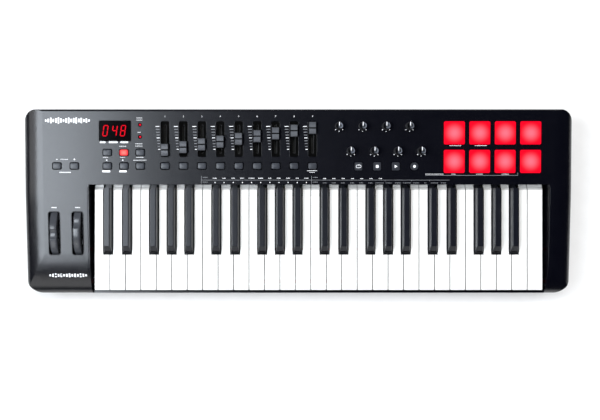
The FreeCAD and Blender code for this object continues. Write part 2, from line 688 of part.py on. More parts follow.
def stop_rail(y, centres, blade_half):
    """An upright rail with a window for each key's toe and a blade that guides the key from inside."""
    rail = box(BED_X, about(y, RAIL_THICKNESS), (CHASSIS_Z[0], RAIL_TOP_Z))
    ledge = box(BED_X, (y - RAIL_THICKNESS / 2 - LEDGE_REACH, y), (WINDOW_TOP_Z, RAIL_TOP_Z))
    windows = [box(about(x, 10.0), about(y, 20), (CHASSIS_Z[1], WINDOW_TOP_Z)) for x in centres]
    blade_y, blade_z = about(y, RAIL_THICKNESS), (RAIL_TOP_Z - 1, BLADE_TOP_Z)
    blades = [box(about(x, 2 * blade_half), blade_y, blade_z) for x in centres]
    return rail.fuse(ledge).cut(group(windows)).multiFuse(blades)


def keybed_chassis():
    plate = box(BED_X, CHASSIS_Y, CHASSIS_Z)
    shelf = box(BED_X, (-127.0, -119.0), (CHASSIS_Z[0], SHELF_TOP_Z))
    comb = box(BED_X, about(PIVOT_Y, COMB_THICKNESS), (CHASSIS_Z[0], PIVOT_Z + 4.5))
    slots = [box(about(x, TAIL_WIDTH + 0.8), (PIVOT_Y - 8, PIVOT_Y + 8), (40, 100)) for x in every_tail()]
    comb = comb.cut(group(slots + [key_pivot_rod()]))
    whites = stop_rail(WHITE_RAIL_Y, white_centres(), (WHITE_PITCH - KEY_GAP) / 2 - SKIRT - 0.3)
    sharps = stop_rail(SHARP_RAIL_Y, sharp_axes(), SHARP_BASE / 2 - SKIRT - 0.3)
    posts = []
    for i in range(9):
        x = BED_X[0] + 10 + i * (BED_X[1] - BED_X[0] - 20) / 8
        for y in CONTACT_BOARD_Y:
            inward = 3 if y == CONTACT_BOARD_Y[0] else -3
            posts.append(box(about(x, 5), about(y + inward, 5), (CHASSIS_Z[0], CONTACT_BOARD_Z)))
    whole = plate.multiFuse([shelf, comb, whites, sharps] + posts).removeSplitter()
    return whole.cut(group(stake_holes(CHASSIS_STAKES, CHASSIS_Z)))


def key_pivot_rod():
    return rod(Vec(BED_X[0] + 1, PIVOT_Y, PIVOT_Z), Vec(BED_X[1] - 1, PIVOT_Y, PIVOT_Z), ROD_RADIUS)


def key_contact_board():
    return box((BED_X[0] + 2, BED_X[1] - 2), CONTACT_BOARD_Y, (CONTACT_BOARD_Z, CONTACT_BOARD_Z + BOARD))


def key_contact_domes():
    """A silicone strip for each octave, with one dome below each key's plunger."""
    base_z = CONTACT_BOARD_Z + BOARD
    tails = every_tail()
    strips = []
    for octave in range(OCTAVES):
        mine = tails[octave * 12:octave * 12 + 12] + (tails[-1:] if octave == OCTAVES - 1 else [])
        strip = box((mine[0] - 5.8, mine[-1] + 5.8), (PLUNGER_Y - 8, PLUNGER_Y + 8), (base_z, base_z + 1))
        domes = [Part.makeCone(4.8, 3.2, DOME_HEIGHT, Vec(x, PLUNGER_Y, base_z + 1)) for x in mine]
        strips.append(strip.multiFuse(domes))
    return group(strips)


def key_return_springs():
    """A bent leaf spring under every key, from the chassis to the key's arm."""
    foot_z = CHASSIS_Z[1]
    tip_z = SKIRT_BOTTOM_Z - 0.1
    outline = [
        (70, foot_z),
        (60, foot_z),
        (45, tip_z),
        (45.9, tip_z),
        (60.6, foot_z + 0.6),
        (70, foot_z + 0.6),
    ]
    return group([extrude_yz(outline, about(x, 6.0)) for x in every_tail()])


def key_stop_felts():
    """Felt under the rails' ledges for the up-stops, and on the shelf and rear rail for the down-stops."""
    strips = []
    for y in (WHITE_RAIL_Y, SHARP_RAIL_Y):
        front = y - RAIL_THICKNESS / 2
        strips.append(box(BED_X, (front - LEDGE_REACH, front), (WINDOW_TOP_Z - FELT, WINDOW_TOP_Z)))
    strips.append(box(BED_X, (-126.0, -120.0), (SHELF_TOP_Z, SHELF_TOP_Z + FELT)))
    front = SHARP_RAIL_Y - RAIL_THICKNESS / 2
    strips.append(box(BED_X, (front - LEDGE_REACH, front), (RAIL_TOP_Z, RAIL_TOP_Z + FELT)))
    return group(strips)


# ================================================================ control panel parts
def fader_x(i):
    return FADER_CENTRE_X + (i - (FADER_COUNT - 1) / 2) * FADER_PITCH


def fader_v(i):
    """The sliders stand in a rising line, from the low end of the travel to the high end."""
    return FADER_V + FADER_TRAVEL * (i / (FADER_COUNT - 1) - 0.5)


def knob_places():
    upper = [(KNOB_X + i * KNOB_PITCH, KNOB_ROWS_V[0]) for i in range(4)]
    lower = [(KNOB_X + (i + 0.5) * KNOB_PITCH, KNOB_ROWS_V[1]) for i in range(4)]
    return upper + lower


def pad_places():
    return [(PAD_X + i * PAD_PITCH, v) for v in PAD_ROWS_V for i in range(4)]


def octave_places():
    return [(x, BUTTON_V) for x in OCTAVE_X]


def edit_places():
    return [(x, v) for v in EDIT_ROWS_V for x in EDIT_X]


def fader_button_places():
    return [(fader_x(i), BUTTON_V) for i in range(FADER_COUNT)]


def button_places():
    return octave_places() + edit_places() + fader_button_places()


def transport_places():
    return [(TRANSPORT_X + i * TRANSPORT_PITCH, TRANSPORT_V) for i in range(4)]


def transport_form(i, grow, w):
    """Loop, stop and play are rounded squares, and record is round."""
    x, v = transport_places()[i]
    if i == 3:
        return rod(Vec(x, v, w[0]), Vec(x, v, w[1]), sum(TRANSPORT_CAP) / 4 + grow)
    size = (TRANSPORT_CAP[0] + 2 * grow, TRANSPORT_CAP[1] + 2 * grow)
    return slab((x, v), size, w, 1.8 + grow)


def fader(i):
    """A slider's cap with its blade-shaped lever."""
    x, v = fader_x(i), fader_v(i)
    wide, long, tall = FADER_CAP
    cap = slab((x, v), (wide, long), (0.4, tall), 1.6)
    rim = [e for e in cap.Edges if e.BoundBox.ZMin > tall - 0.05]
    cap = cap.makeFillet(0.8, rim)
    # the cap is dished from both ends towards the middle line
    dish = rod(Vec(x - wide, v, tall + 44.0), Vec(x + wide, v, tall + 44.0), 45.0)
    line = box(about(x, wide + 2), about(v, FADER_GROOVE), (tall - 2.0, tall + 1))
    lever = box(about(x, 1.6), about(v, 7.0), (-9.5, 1.0))
    return on_panel(cap.cut(dish).cut(line).fuse(lever).removeSplitter())


def fader_potentiometers():
    bodies = []
    for i in range(FADER_COUNT):
        x = fader_x(i)
        body = box(about(x, 9.0), about(FADER_V, 56.0), (BOARD_TOP_W, -4.2))
        channel = box(about(x, 3.0), about(FADER_V, FADER_TRAVEL + 9.0), (-10.5, 0))
        bodies.append(on_panel(body.cut(channel)))
    return group(bodies)


def knob(x, v):
    """A knob with its pointer groove, and the shaft that it is pressed on."""
    low = 0.8
    cap = Part.makeCone(KNOB_RADII[0], KNOB_RADII[1], KNOB_HEIGHT, Vec(x, v, low))
    rim = [e for e in cap.Edges if e.BoundBox.ZMin > low + KNOB_HEIGHT - 0.05]
    cap = cap.makeFillet(0.7, rim)
    pointer = box(about(x, 1.0), (v + 0.5, v + 9), (low + KNOB_HEIGHT - 0.6, low + KNOB_HEIGHT + 1))
    shaft = rod(Vec(x, v, -8.0), Vec(x, v, low + KNOB_HEIGHT - 3), SHAFT_RADIUS)
    return on_panel(group([cap.cut(pointer).cut(shaft), shaft]))


def rotary_potentiometers():
    """Eight under the knobs and two beside the wheels."""
    bodies = []
    for x, v in knob_places():
        body = box(about(x, 9.6), about(v, 11.0), (BOARD_TOP_W, -5.0))
        bore = rod(Vec(x, v, -8.4), Vec(x, v, 0), SHAFT_RADIUS + RUNNING)
        bodies.append(on_panel(body.cut(bore)))
    inner = (BRACKET_PLATES_X[1] + PLATE, BRACKET_PLATES_X[2])
    for start, direction in ((inner[0], 1), (inner[1], -1)):
        end = start + direction * 5.5
        body = rod(Vec(start, WHEEL_AXIS_Y, WHEEL_Z), Vec(end, WHEEL_AXIS_Y, WHEEL_Z), 8.0)
        blind = start + direction * 3.4
        ends = (Vec(start, WHEEL_AXIS_Y, WHEEL_Z), Vec(blind, WHEEL_AXIS_Y, WHEEL_Z))
        bore = rod(ends[0], ends[1], WHEEL_TIP + RUNNING)
        bodies.append(body.cut(bore))
    return group(bodies)


def button(place):
    """A button cap with the flange that keeps it in the panel and the stem that works its switch."""
    cap = slab(place, BUTTON_CAP, (-WALL - 0.4, BUTTON_RISE), 2.2)
    rim = [e for e in cap.Edges if e.BoundBox.ZMin > BUTTON_RISE - 0.05]
    flange = slab(place, BUTTON_FLANGE, (-WALL - 1.3, -WALL - 0.2), 1.5)
    stem = box(about(place[0], 3.0), about(place[1], 3.0), (-8.2, -WALL - 1))
    return on_panel(cap.makeFillet(0.8, rim).multiFuse([flange, stem]).removeSplitter())


def transport_button(i):
    place = transport_places()[i]
    cap = transport_form(i, 0, (-WALL - 0.4, BUTTON_RISE - 0.6))
    rim = [e for e in cap.Edges if e.BoundBox.ZMin > BUTTON_RISE - 0.65]
    flange = slab(place, (15.4, 16.4), (-WALL - 1.3, -WALL - 0.2), 1.5)
    stem = box(about(place[0], 3.0), about(place[1], 3.0), (-8.2, -WALL - 1))
    return on_panel(cap.makeFillet(0.5, rim).multiFuse([flange, stem]).removeSplitter())


def button_switches():
    switches = []
    for x, v in button_places() + transport_places():
        can = box(about(x, 6.0), about(v, 6.0), (BOARD_TOP_W, -9.8))
        stud = rod(Vec(x, v, -9.8), Vec(x, v, -9.2), 1.7)
        switches.append(on_panel(can.fuse(stud)))
    return group(switches)


def drum_pad(place):
    cap = slab(place, PAD_SIZE, (-WALL - 0.6, PAD_RISE), 2.2)
    rim = [e for e in cap.Edges if e.BoundBox.ZMin > PAD_RISE - 0.05]
    flange = slab(place, (PAD_SIZE[0] + 3.0, PAD_SIZE[1] + 3.0), (-WALL - 1.5, -WALL - 0.2), 2.0)
    foot = slab(place, (20.0, 20.0), (-6.6, -WALL - 1), 3.0)
    return on_panel(cap.makeFillet(1.0, rim).multiFuse([flange, foot]).removeSplitter())


def pad_sensor_board():
    """The board under the pads, with a pressure sensor patch below each."""
    x_mid = sum(PAD_BOARD_X) / 2
    v_mid = sum(PAD_ROWS_V) / 2
    top = PAD_BOARD_W + BOARD
    board = box(PAD_BOARD_X, about(v_mid, PAD_BOARD_LENGTH), (PAD_BOARD_W, top))
    board = board.cut(group(stake_holes(PAD_STAKES, (PAD_BOARD_W, top))))
    sensors = [slab(place, (22, 22), (top, top + 0.5), 2.0) for place in pad_places()]
    return on_panel(group([board] + sensors))


def strip(points, normal_axis, span):
    """A flat ribbon: a run of straight stretches in one plane, given a width along the third axis."""
    made = []
    for (a, b), (c, d) in zip(points, points[1:]):
        flat = (min(a, c) - RIBBON / 2, max(a, c) + RIBBON / 2)
        tall = (min(b, d) - RIBBON / 2, max(b, d) + RIBBON / 2)
        made.append(box(flat, span, tall) if normal_axis == "y" else box(span, flat, tall))
    return join(made)


def boards_and_ribbons():
    """The main board under the panel, the socket board at the back, and the ribbons between the boards."""
    main = box(MAIN_BOARD_X, MAIN_BOARD_V, (BOARD_W, BOARD_TOP_W))
    main = on_panel(main.cut(group(stake_holes(MAIN_STAKES, (BOARD_W, BOARD_TOP_W)))))
    socket_z = (SOCKET_BOARD_Z - BOARD, SOCKET_BOARD_Z)
    socket = box(SOCKET_BOARD_X, SOCKET_BOARD_Y, socket_z).cut(group(stake_holes(SOCKET_STAKES, socket_z)))
    half = RIBBON / 2
    under_main_z = PANEL_FRONT_Z + BOARD_W - 0.1
    contact_z = CONTACT_BOARD_Z + BOARD + half
    to_keys = strip([(-305.0, contact_z), (-340.0, contact_z), (-340.0, under_main_z)], "y", (30.2, 35.8))
    main_w = BOARD_W - half - 0.1
    pad_w = PAD_BOARD_W - half - 0.1
    to_pads = strip([(194.0, main_w), (205.6, main_w), (205.6, pad_w), (216.0, pad_w)], "y", (45.0, 65.0))
    socket_top = SOCKET_BOARD_Z + half
    riser = [(110.0, socket_top), (104.5, socket_top), (104.5, under_main_z + 2.3)]
    to_sockets = strip(riser, "x", (-298.0, -288.0))
    return group([main, socket, to_keys, on_panel(to_pads), to_sockets])


def display_module():
    """A three-digit seven-segment block."""
    block = box(about(DISPLAY_X, 40.0), about(DISPLAY_V, 22.0), (BOARD_TOP_W, -3.8))
    return on_panel(block)


def display_window():
    centre = (DISPLAY_X, DISPLAY_V)
    wide, long = DISPLAY_SIZE
    pane = slab(centre, (wide - 0.2, long - 0.2), (-WALL - 0.2, -0.3), 1.1)
    flange = slab(centre, (wide + 3, long + 3), (-WALL - 1.0, -WALL), 1.1)
    return on_panel(pane.fuse(flange).removeSplitter())


def status_leds():
    leds = []
    for v in LED_ROWS_V:
        body = rod(Vec(LED_X, v, BOARD_TOP_W), Vec(LED_X, v, -1.5), LED_RADIUS)
        dome = Part.makeSphere(LED_RADIUS, Vec(LED_X, v, -1.5))
        leds.append(on_panel(body.fuse(dome).removeSplitter()))
    return group(leds)


# ================================================================ wheels
def wheel(x, shaft_x):
    """A sector wheel with a finger notch in its rim, turning on a stepped shaft."""
    centre = Vec(x - WHEEL_WIDTH / 2, WHEEL_AXIS_Y, WHEEL_Z)
    disc = Part.makeCylinder(WHEEL_RADIUS, WHEEL_WIDTH, centre, X_AXIS)
    rims = [e for e in disc.Edges if e.Length > 2 * WHEEL_RADIUS and len(e.Vertexes) == 1]
    disc = disc.makeFillet(1.0, rims)
    reach = 2 * WHEEL_RADIUS
    angle = math.radians(WHEEL_SECTOR)
    side = (reach * math.sin(angle), reach * math.cos(angle))
    wedge = [(0, -14), (side[0], side[1]), (side[0], reach), (-side[0], reach), (-side[0], side[1])]
    sector = extrude_yz([(WHEEL_AXIS_Y + a, WHEEL_Z + b) for a, b in wedge], about(x, WHEEL_WIDTH + 4))
    hub = rod(centre, centre + Vec(WHEEL_WIDTH, 0, 0), 12.0)
    notch_z = WHEEL_Z + WHEEL_RADIUS + WHEEL_NOTCH_RADIUS - WHEEL_NOTCH_DEPTH
    notch = rod(Vec(x - 20, WHEEL_AXIS_Y, notch_z), Vec(x + 20, WHEEL_AXIS_Y, notch_z), WHEEL_NOTCH_RADIUS)
    ends = [Vec(a, WHEEL_AXIS_Y, WHEEL_Z) for a in shaft_x]
    shaft = rod(ends[0], ends[1], WHEEL_SHAFT)
    tip = rod(ends[1], ends[1] + (ends[1] - ends[0]).normalize() * 3.0, WHEEL_TIP)
    body = disc.common(sector).fuse(hub).cut(notch)
    return body.multiFuse([shaft, tip]).removeSplitter()


def turned_about_wheel_axis(shape, degrees):
    turned = shape.copy()
    turned.rotate(Vec(0, WHEEL_AXIS_Y, WHEEL_Z), X_AXIS, degrees)
    return turned


def pitch_wheel():
    """The sprung wheel, with a peg on its side that pushes one leg of the hairpin spring."""
    shaft_x = (BRACKET_PLATES_X[0], BRACKET_PLATES_X[1] + PLATE - SHAFT_GAP)
    side = WHEEL_X[0] + WHEEL_WIDTH / 2
    peg_x = (side - 1, spring_x() + SPRING_LEG)
    peg = box(peg_x, about(WHEEL_AXIS_Y, 6.0), about(WHEEL_Z + PITCH_PEG_Z, 2.0))
    turned = turned_about_wheel_axis(wheel(WHEEL_X[0], shaft_x), PITCH_REST_ANGLE)
    return turned.fuse(peg).removeSplitter()


def mod_wheel():
    shaft_x = (BRACKET_PLATES_X[3] + PLATE, BRACKET_PLATES_X[2] + SHAFT_GAP)
    return turned_about_wheel_axis(wheel(WHEEL_X[1], shaft_x), MOD_REST_ANGLE)


def wheel_bracket():
    span = (BRACKET_PLATES_X[0], BRACKET_PLATES_X[3] + PLATE)
    base_z = (FLOOR_TOP, FLOOR_TOP + BRACKET_BASE)
    parts = [box(span, about(WHEEL_AXIS_Y, 44), base_z)]
    plate_y, plate_z = about(WHEEL_AXIS_Y, 26), (FLOOR_TOP, WHEEL_Z + 12)
    parts += [box((x, x + PLATE), plate_y, plate_z) for x in BRACKET_PLATES_X]
    tab_x = (spring_x() - SPRING_LEG, BRACKET_PLATES_X[1] + 1)
    parts.append(box(tab_x, about(WHEEL_AXIS_Y, 6.0), about(WHEEL_Z + SPRING_TAB_Z, 3.0)))
    ends = [Vec(x, WHEEL_AXIS_Y, WHEEL_Z) for x in (span[0] - 1, span[1] + 1)]
    bore = rod(ends[0], ends[1], WHEEL_SHAFT + RUNNING)
    return join(parts).cut(group([bore] + stake_holes(BRACKET_STAKES, base_z)))


def spring_x():
    """The hairpin spring lies between the pitch wheel's side and the bracket's plate."""
    return (WHEEL_X[0] + WHEEL_WIDTH / 2 + BRACKET_PLATES_X[1]) / 2


def pitch_return_spring():
    """A hairpin that hugs the pitch wheel's shaft, with the peg and the bracket's tab between its legs."""
    x = spring_x()
    start = Vec(x - SPRING_LEG / 2, WHEEL_AXIS_Y, WHEEL_Z)
    inner = WHEEL_SHAFT + 0.3
    ring = Part.makeCylinder(inner + SPRING_LEG, SPRING_LEG, start, X_AXIS)
    ring = ring.cut(Part.makeCylinder(inner, SPRING_LEG, start, X_AXIS))
    reach = inner + SPRING_LEG / 2
    legs_z = (WHEEL_Z + SPRING_TAB_Z - 4.0, WHEEL_Z)
    legs_y = [about(WHEEL_AXIS_Y + side * reach, SPRING_LEG) for side in (-1, 1)]
    legs = [box(about(x, SPRING_LEG), leg_y, legs_z) for leg_y in legs_y]
    hole = Part.makeCylinder(inner, SPRING_LEG, start, X_AXIS)
    return join([ring] + legs).cut(hole)


# ================================================================ rear sockets
def usb_socket():
    body_z = (SOCKET_BOARD_Z, REAR_Z + USB_SIZE[1] / 2)
    body = box(about(USB_X, USB_SIZE[0]), (USB_FACE_Y - USB_DEPTH, USB_FACE_Y), body_z)
    mouth = box(about(USB_X, USB_MOUTH[0]), (USB_FACE_Y - 12, USB_FACE_Y + 1), about(REAR_Z, USB_MOUTH[1]))
    tongue = box(about(USB_X, 5.6), (USB_FACE_Y - 13, USB_FACE_Y - 2), about(REAR_Z, 3.2))
    return body.cut(mouth).fuse(tongue).removeSplitter()


def sustain_jack():
    sleeve = rod(Vec(JACK_X, JACK_FACE_Y - 14, REAR_Z), Vec(JACK_X, JACK_FACE_Y, REAR_Z), JACK_SLEEVE)
    block = box(about(JACK_X, 16), (JACK_FACE_Y - 33, JACK_FACE_Y - 12), about(REAR_Z, 15))
    bore_end = Vec(JACK_X, JACK_FACE_Y - JACK_BORE_LENGTH, REAR_Z)
    bore = rod(bore_end, Vec(JACK_X, JACK_FACE_Y + 1, REAR_Z), JACK_BORE)
    return block.fuse(sleeve).cut(bore).removeSplitter()


def power_switch_housing():
    wide, tall = POWER_SIZE
    frame = box(about(POWER_X, wide), (REAR_Y - 17, REAR_Y - 1.5), about(REAR_Z, tall))
    well_x, well_z = about(POWER_X, ROCKER_SIZE[0] + 0.8), about(REAR_Z, ROCKER_SIZE[1] + 2.4)
    well = box(well_x, (REAR_Y - 14, REAR_Y), well_z)
    return frame.cut(well)


def power_rocker():
    """A rocker with a bent face, shown pressed at its upper end."""
    pivot_y = REAR_Y - 8.0
    half = ROCKER_SIZE[1] / 2
    outline = [
        (-3.0, -2.5),
        (-3.0, 2.5),
        (4.0, half),
        (5.6, half - 0.6),
        (6.0, 0.0),
        (7.0, -half + 0.4),
        (4.0, -half),
    ]
    points = [(pivot_y + a, REAR_Z + b) for a, b in outline]
    body = extrude_yz(points, about(POWER_X, ROCKER_SIZE[0]))
    pin = rod(Vec(POWER_X - 8.2, pivot_y, REAR_Z), Vec(POWER_X + 8.2, pivot_y, REAR_Z), 1.0)
    return body.fuse(pin).removeSplitter()


# ================================================================ the whole instrument
def nodes():
    made = {
        "top_housing": top_housing(),
        "bottom_housing": bottom_housing(),
        "case_screws": case_screws(),
        "rubber_feet": rubber_feet(),
        "keybed_chassis": keybed_chassis(),
        "key_pivot_rod": key_pivot_rod(),
        "key_contact_board": key_contact_board(),
        "key_contact_domes": key_contact_domes(),
        "key_return_springs": key_return_springs(),
        "key_stop_felts": key_stop_felts(),
        "boards_and_ribbons": boards_and_ribbons(),
        "fader_potentiometers": fader_potentiometers(),
        "rotary_potentiometers": rotary_potentiometers(),
        "button_switches": button_switches(),
        "display_module": display_module(),
        "display_window": display_window(),
        "status_leds": status_leds(),
        "pad_sensor_board": pad_sensor_board(),
        "drum_pads": group([drum_pad(place) for place in pad_places()]),
        "octave_buttons": group([button(place) for place in octave_places()]),
        "edit_buttons": group([button(place) for place in edit_places()]),
        "fader_buttons": group([button(place) for place in fader_button_places()]),
        "transport_buttons": group([transport_button(i) for i in range(4)]),
        "pitch_wheel": pitch_wheel(),
        "mod_wheel": mod_wheel(),
        "wheel_bracket": wheel_bracket(),
        "pitch_return_spring": pitch_return_spring(),
        "usb_socket": usb_socket(),
        "sustain_jack": sustain_jack(),
        "power_switch_housing": power_switch_housing(),
        "power_rocker": power_rocker(),
    }
    made.update(key_nodes())
    made.update({f"fader_{i + 1}": fader(i) for i in range(FADER_COUNT)})
    made.update({f"knob_{i + 1}": knob(x, v) for i, (x, v) in enumerate(knob_places())})
    return made


def main():
    os.makedirs(OUT, exist_ok=True)
    for name, shape in nodes().items():
        save(name, shape)


main()
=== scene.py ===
"""Looks of a 49-key MIDI controller keyboard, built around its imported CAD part.

The frame has +X to the player's right, +Y to the back and +Z up. Lengths are millimetres, turned into
metres where points are made. A place on the case is x and y of the frame and w, the height above the
surface there.
"""

import json
import math

import bmesh
import bpy
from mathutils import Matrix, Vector
from mathutils.bvhtree import BVHTree


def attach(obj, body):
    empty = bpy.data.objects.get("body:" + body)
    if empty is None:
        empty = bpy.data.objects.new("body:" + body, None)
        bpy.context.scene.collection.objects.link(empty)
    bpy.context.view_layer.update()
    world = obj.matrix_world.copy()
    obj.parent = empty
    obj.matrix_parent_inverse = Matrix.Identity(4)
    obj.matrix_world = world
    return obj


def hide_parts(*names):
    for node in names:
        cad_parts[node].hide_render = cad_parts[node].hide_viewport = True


MM = 0.001

# ---------------------------------------------------------------- controls, as in the part
BUTTON_CAP = (12.3, 9.2)
BUTTON_CORNER = 2.4
BUTTON_FLANGE = (16.6, 13.4)
BUTTON_RISE = 1.8
FADER_CAP = (10.2, 17.8)
FADER_RECESS = (12.6, 52.8)
FADER_SLOT = (4.2, 43.0)
GROOVE_HALF = 0.8
RECESS_FLOOR_W = (-1.22, -1.1)
KNOB_HEIGHT = 14.8
KNOB_FLUTES = 18
KNOB_STEPS = 144
TRANSPORT_CAP = (11.4, 12.4)
TRANSPORT_CORNER = 2.0
TRANSPORT_FLANGE = (15.4, 16.4)
TRANSPORT_RISE = 1.2
PAD_SIZE = (31.2, 34.4)
PAD_CORNER = 2.4
PAD_FLANGE = (34.2, 37.4)
PAD_FLANGE_W = (-4.0, -2.7)
PAD_PLUNGER = (20.0, 20.0)
PAD_PLUNGER_LOW_W = -6.6
PAD_RISE = 1.8
PAD_GLOW = 17.0  # how far the light of a pad reaches from its middle
BUTTON_GLOW = 8.5  # and that of a lit button
DISPLAY_SIZE = (47.4, 30.0)
DISPLAY_TOP_W = -0.3
DIGIT_SIZE = (6.2, 15.4)
DIGIT_SLANT = 0.15
DIGIT_LEFTS = (-18.6, -4.9, 7.5)  # from the middle of the window
DIGIT_LOW = -7.3
SEGMENT_HALF_WIDTH = 0.68
READING = "048"
WHEEL_SLOT = (16.0, 63.6)
WHEEL_SLOT_Y = -48.0
WHEEL_RADIUS = 42.0
WHEEL_HALF_WIDTH = 5.25
WHEEL_SECTOR = 78
RIM_INNER_RADIUS = 35.0
HUB_RADIUS = 12.0
SHAFT_RADII = (3.0, 2.0)
NOTCH_RADIUS = 13.5
NOTCH_DEPTH = 3.5
PITCH_NOTCH_ANGLE = 5.6  # how far each wheel's finger notch leans to the player
MOD_NOTCH_ANGLE = -17.3
PITCH_SHAFT_X = (-11.3, 11.6, 14.6)  # start, step and end, from the middle of the wheel
MOD_SHAFT_X = (11.4, -11.5, -14.5)
FLANGE_W = (-3.8, -2.7)  # the flanges under the panel that keep the buttons in
STEM_LOW_W = -8.2
KEYS_ROOM = (-312.65, 373.65)  # the sides of the opening for the keys
RAIL_SET_BACK = 1.6
RAIL_Y = (-112.0, 21.0)
RAIL_HALF_WIDTH = 0.55
RAIL_HEIGHT = 0.4
RAIL_STEPS = 26
ROOT_DEPTH = 0.06  # how deep a raised rim or rail is let into its face
INK_W = (-0.02, 0.05)
LIT_BUTTON = 4  # the middle button of the upper row below the display is lit
BETWEEN_WHEELS_X = -347.5
CHEEK_Y = (-75.0, -8.0)  # the stretch of the left side block that the wheels stand in
SHARP_ANGLE = 35  # edges that turn by more degrees than this are drawn sharp
NOISE_SPREAD = (0.3, 0.7)  # nearly all values of a noise lie between these


# ================================================================ faces of the case
class Plane:
    """A flat face of the case. Calling it turns x, y and w into a point of the frame."""

    def __init__(self, point, along):
        self.along = along.normalized()
        self.out = Vector((1, 0, 0)).cross(self.along)
        self.origin = point - self.along * (point.y / self.along.y)
        self.origin.x = 0.0

    def __call__(self, x, y, w=0.0):
        run = self.along * (y / self.along.y)
        return self.origin + (Vector((x, 0, 0)) + run + self.out * w) * MM

    def local(self, point):
        w = (point - self.origin).dot(self.out) / MM
        return Vector((point.x / MM, point.y / MM - self.out.y * w, w))


def solids(node, face):
    """The corners (low, high) of the box round each solid of a CAD node, in a face's millimetres."""
    mesh = frame["nodes"][node].data
    welded = {}
    places = [tuple(round(c, 6) for c in vertex.co) for vertex in mesh.vertices]
    index = [welded.setdefault(place, len(welded)) for place in places]
    parent = list(range(len(welded)))

    def root(i):
        while parent[i] != i:
            parent[i] = parent[parent[i]]
            i = parent[i]
        return i

    for edge in mesh.edges:
        a, b = edge.vertices
        parent[root(index[a])] = root(index[b])
    groups = {}
    for vertex in mesh.vertices:
        groups.setdefault(root(index[vertex.index]), []).append(face.local(vertex.co))
    boxes = []
    for points in groups.values():
        low = Vector(min(p[i] for p in points) for i in range(3))
        high = Vector(max(p[i] for p in points) for i in range(3))
        boxes.append((low, high))
    return sorted(boxes, key=lambda box: (round(box[0].y), box[0].x))


def middles(node, face):
    """The x, y middle of each solid of a node, row by row from the player and from the left."""
    return [((low.x + high.x) / 2, (low.y + high.y) / 2) for low, high in solids(node, face)]


# ================================================================ shapes
class Shape:
    """Points and faces of a piece while it is made. Faces carry the index of their material."""

    def __init__(self, place):
        self.place = place
        self.points = []
        self.faces = []
        self.inks = []
        self.glow = []

    def loop(self, corners, glow=None):
        start = len(self.points)
        self.points += [self.place(*corner) for corner in corners]
        self.glow += glow or [0.0] * len(corners)
        return list(range(start, len(self.points)))

    def face(self, corners, ink=0):
        self.faces.append(list(corners))
        self.inks.append(ink)

    def skin(self, loops, ink=0):
        """Quads between each closed loop and the next."""
        for low, high in zip(loops, loops[1:]):
            for i in range(len(low)):
                j = (i + 1) % len(low)
                self.face([low[i], low[j], high[j], high[i]], ink)

    def stack(self, loops, ink=0):
        """A closed solid: loops skinned in order, with a face over each end."""
        self.skin(loops, ink)
        self.face(reversed(loops[0]), ink)
        self.face(loops[-1], ink)


def rounded(centre, size, radius, steps=5, side_steps=1):
    """The outline of a rounded rectangle, with the same number of points whatever its size."""
    half = (size[0] / 2 - radius, size[1] / 2 - radius)
    points = []
    for side_x, side_y, start in ((1, 1, 0), (-1, 1, 90), (-1, -1, 180), (1, -1, 270)):
        for i in range(steps + 1):
            angle = math.radians(start + 90 * i / steps)
            x = centre[0] + side_x * half[0] + radius * math.cos(angle)
            y = centre[1] + side_y * half[1] + radius * math.sin(angle)
            points.append((x, y))
    outline = []
    for i, start in enumerate(points):
        stop = points[(i + 1) % len(points)]
        parts = side_steps if i % (steps + 1) == steps else 1
        for part in range(parts):
            share = part / parts
            x = start[0] + (stop[0] - start[0]) * share
            y = start[1] + (stop[1] - start[1]) * share
            outline.append((x, y))
    return outline


def circle(centre, radius):
    steps = 32
    turns = [2 * math.pi * i / steps for i in range(steps)]
    return [(centre[0] + radius * math.cos(t), centre[1] + radius * math.sin(t)) for t in turns]


def lifted(outline, w):
    return [(x, y, w) for x, y in outline]


def prism(shape, outline, levels, ink=0):
    """A solid that stands on an outline, from the first level to the last."""
    shape.stack([shape.loop(lifted(outline, w)) for w in levels], ink)


def lamp_light(distance, reach):
    """1 over the lamp, falling softly to 0 at its reach."""
    return 0.5 + 0.5 * math.cos(math.pi * min(distance / reach, 1.0))


def cap(shape, outline, base, top, edge, crown, inks=(0, 0), rings=5, reach=None):
    """A cap with upright sides, a rounded edge and a top that swells by crown.

    outline(inset) gives its plan, and inks are those of the sides and of the top. With reach, the cap
    glows in its middle, and no longer glows at that distance from it.
    """
    levels = [(0.0, base), (0.0, top - edge)]
    for angle in (22, 45, 68, 90):
        turn = math.radians(angle)
        levels.append((edge * (1 - math.cos(turn)), top - edge + edge * math.sin(turn)))
    plans = [(outline(inset), w) for inset, w in levels]
    edge_plan = plans[-1][0]
    middle = sum((Vector(p) for p in edge_plan), Vector((0, 0))) / len(edge_plan)
    for ring in range(1, rings + 1):
        keep = 1 - ring / (rings + 0.4)
        plan = [tuple(middle + (Vector(p) - middle) * keep) for p in edge_plan]
        plans.append((plan, top + crown * (1 - keep**2)))
    loops = []
    for plan, w in plans:
        glow = [lamp_light((Vector(p) - middle).length, reach) for p in plan] if reach else None
        loops.append(shape.loop(lifted(plan, w), glow))
    shape.face(reversed(loops[0]), inks[0])
    shape.skin(loops[:2], inks[0])
    shape.skin(loops[1:], inks[1])
    shape.face(loops[-1], inks[1])


def bead(shape, centre, size, radius, width, height, ink=0):
    """A thin half-round rim that stands around an opening."""
    loops = []
    for i in range(7):
        angle = math.pi * i / 6
        reach = width / 2 * (1 - math.cos(angle))
        grown = (size[0] + 2 * reach, size[1] + 2 * reach)
        outline = rounded(centre, grown, radius + reach)
        loops.append(shape.loop(lifted(outline, height * math.sin(angle) - ROOT_DEPTH)))
    shape.skin(loops + loops[:1], ink)


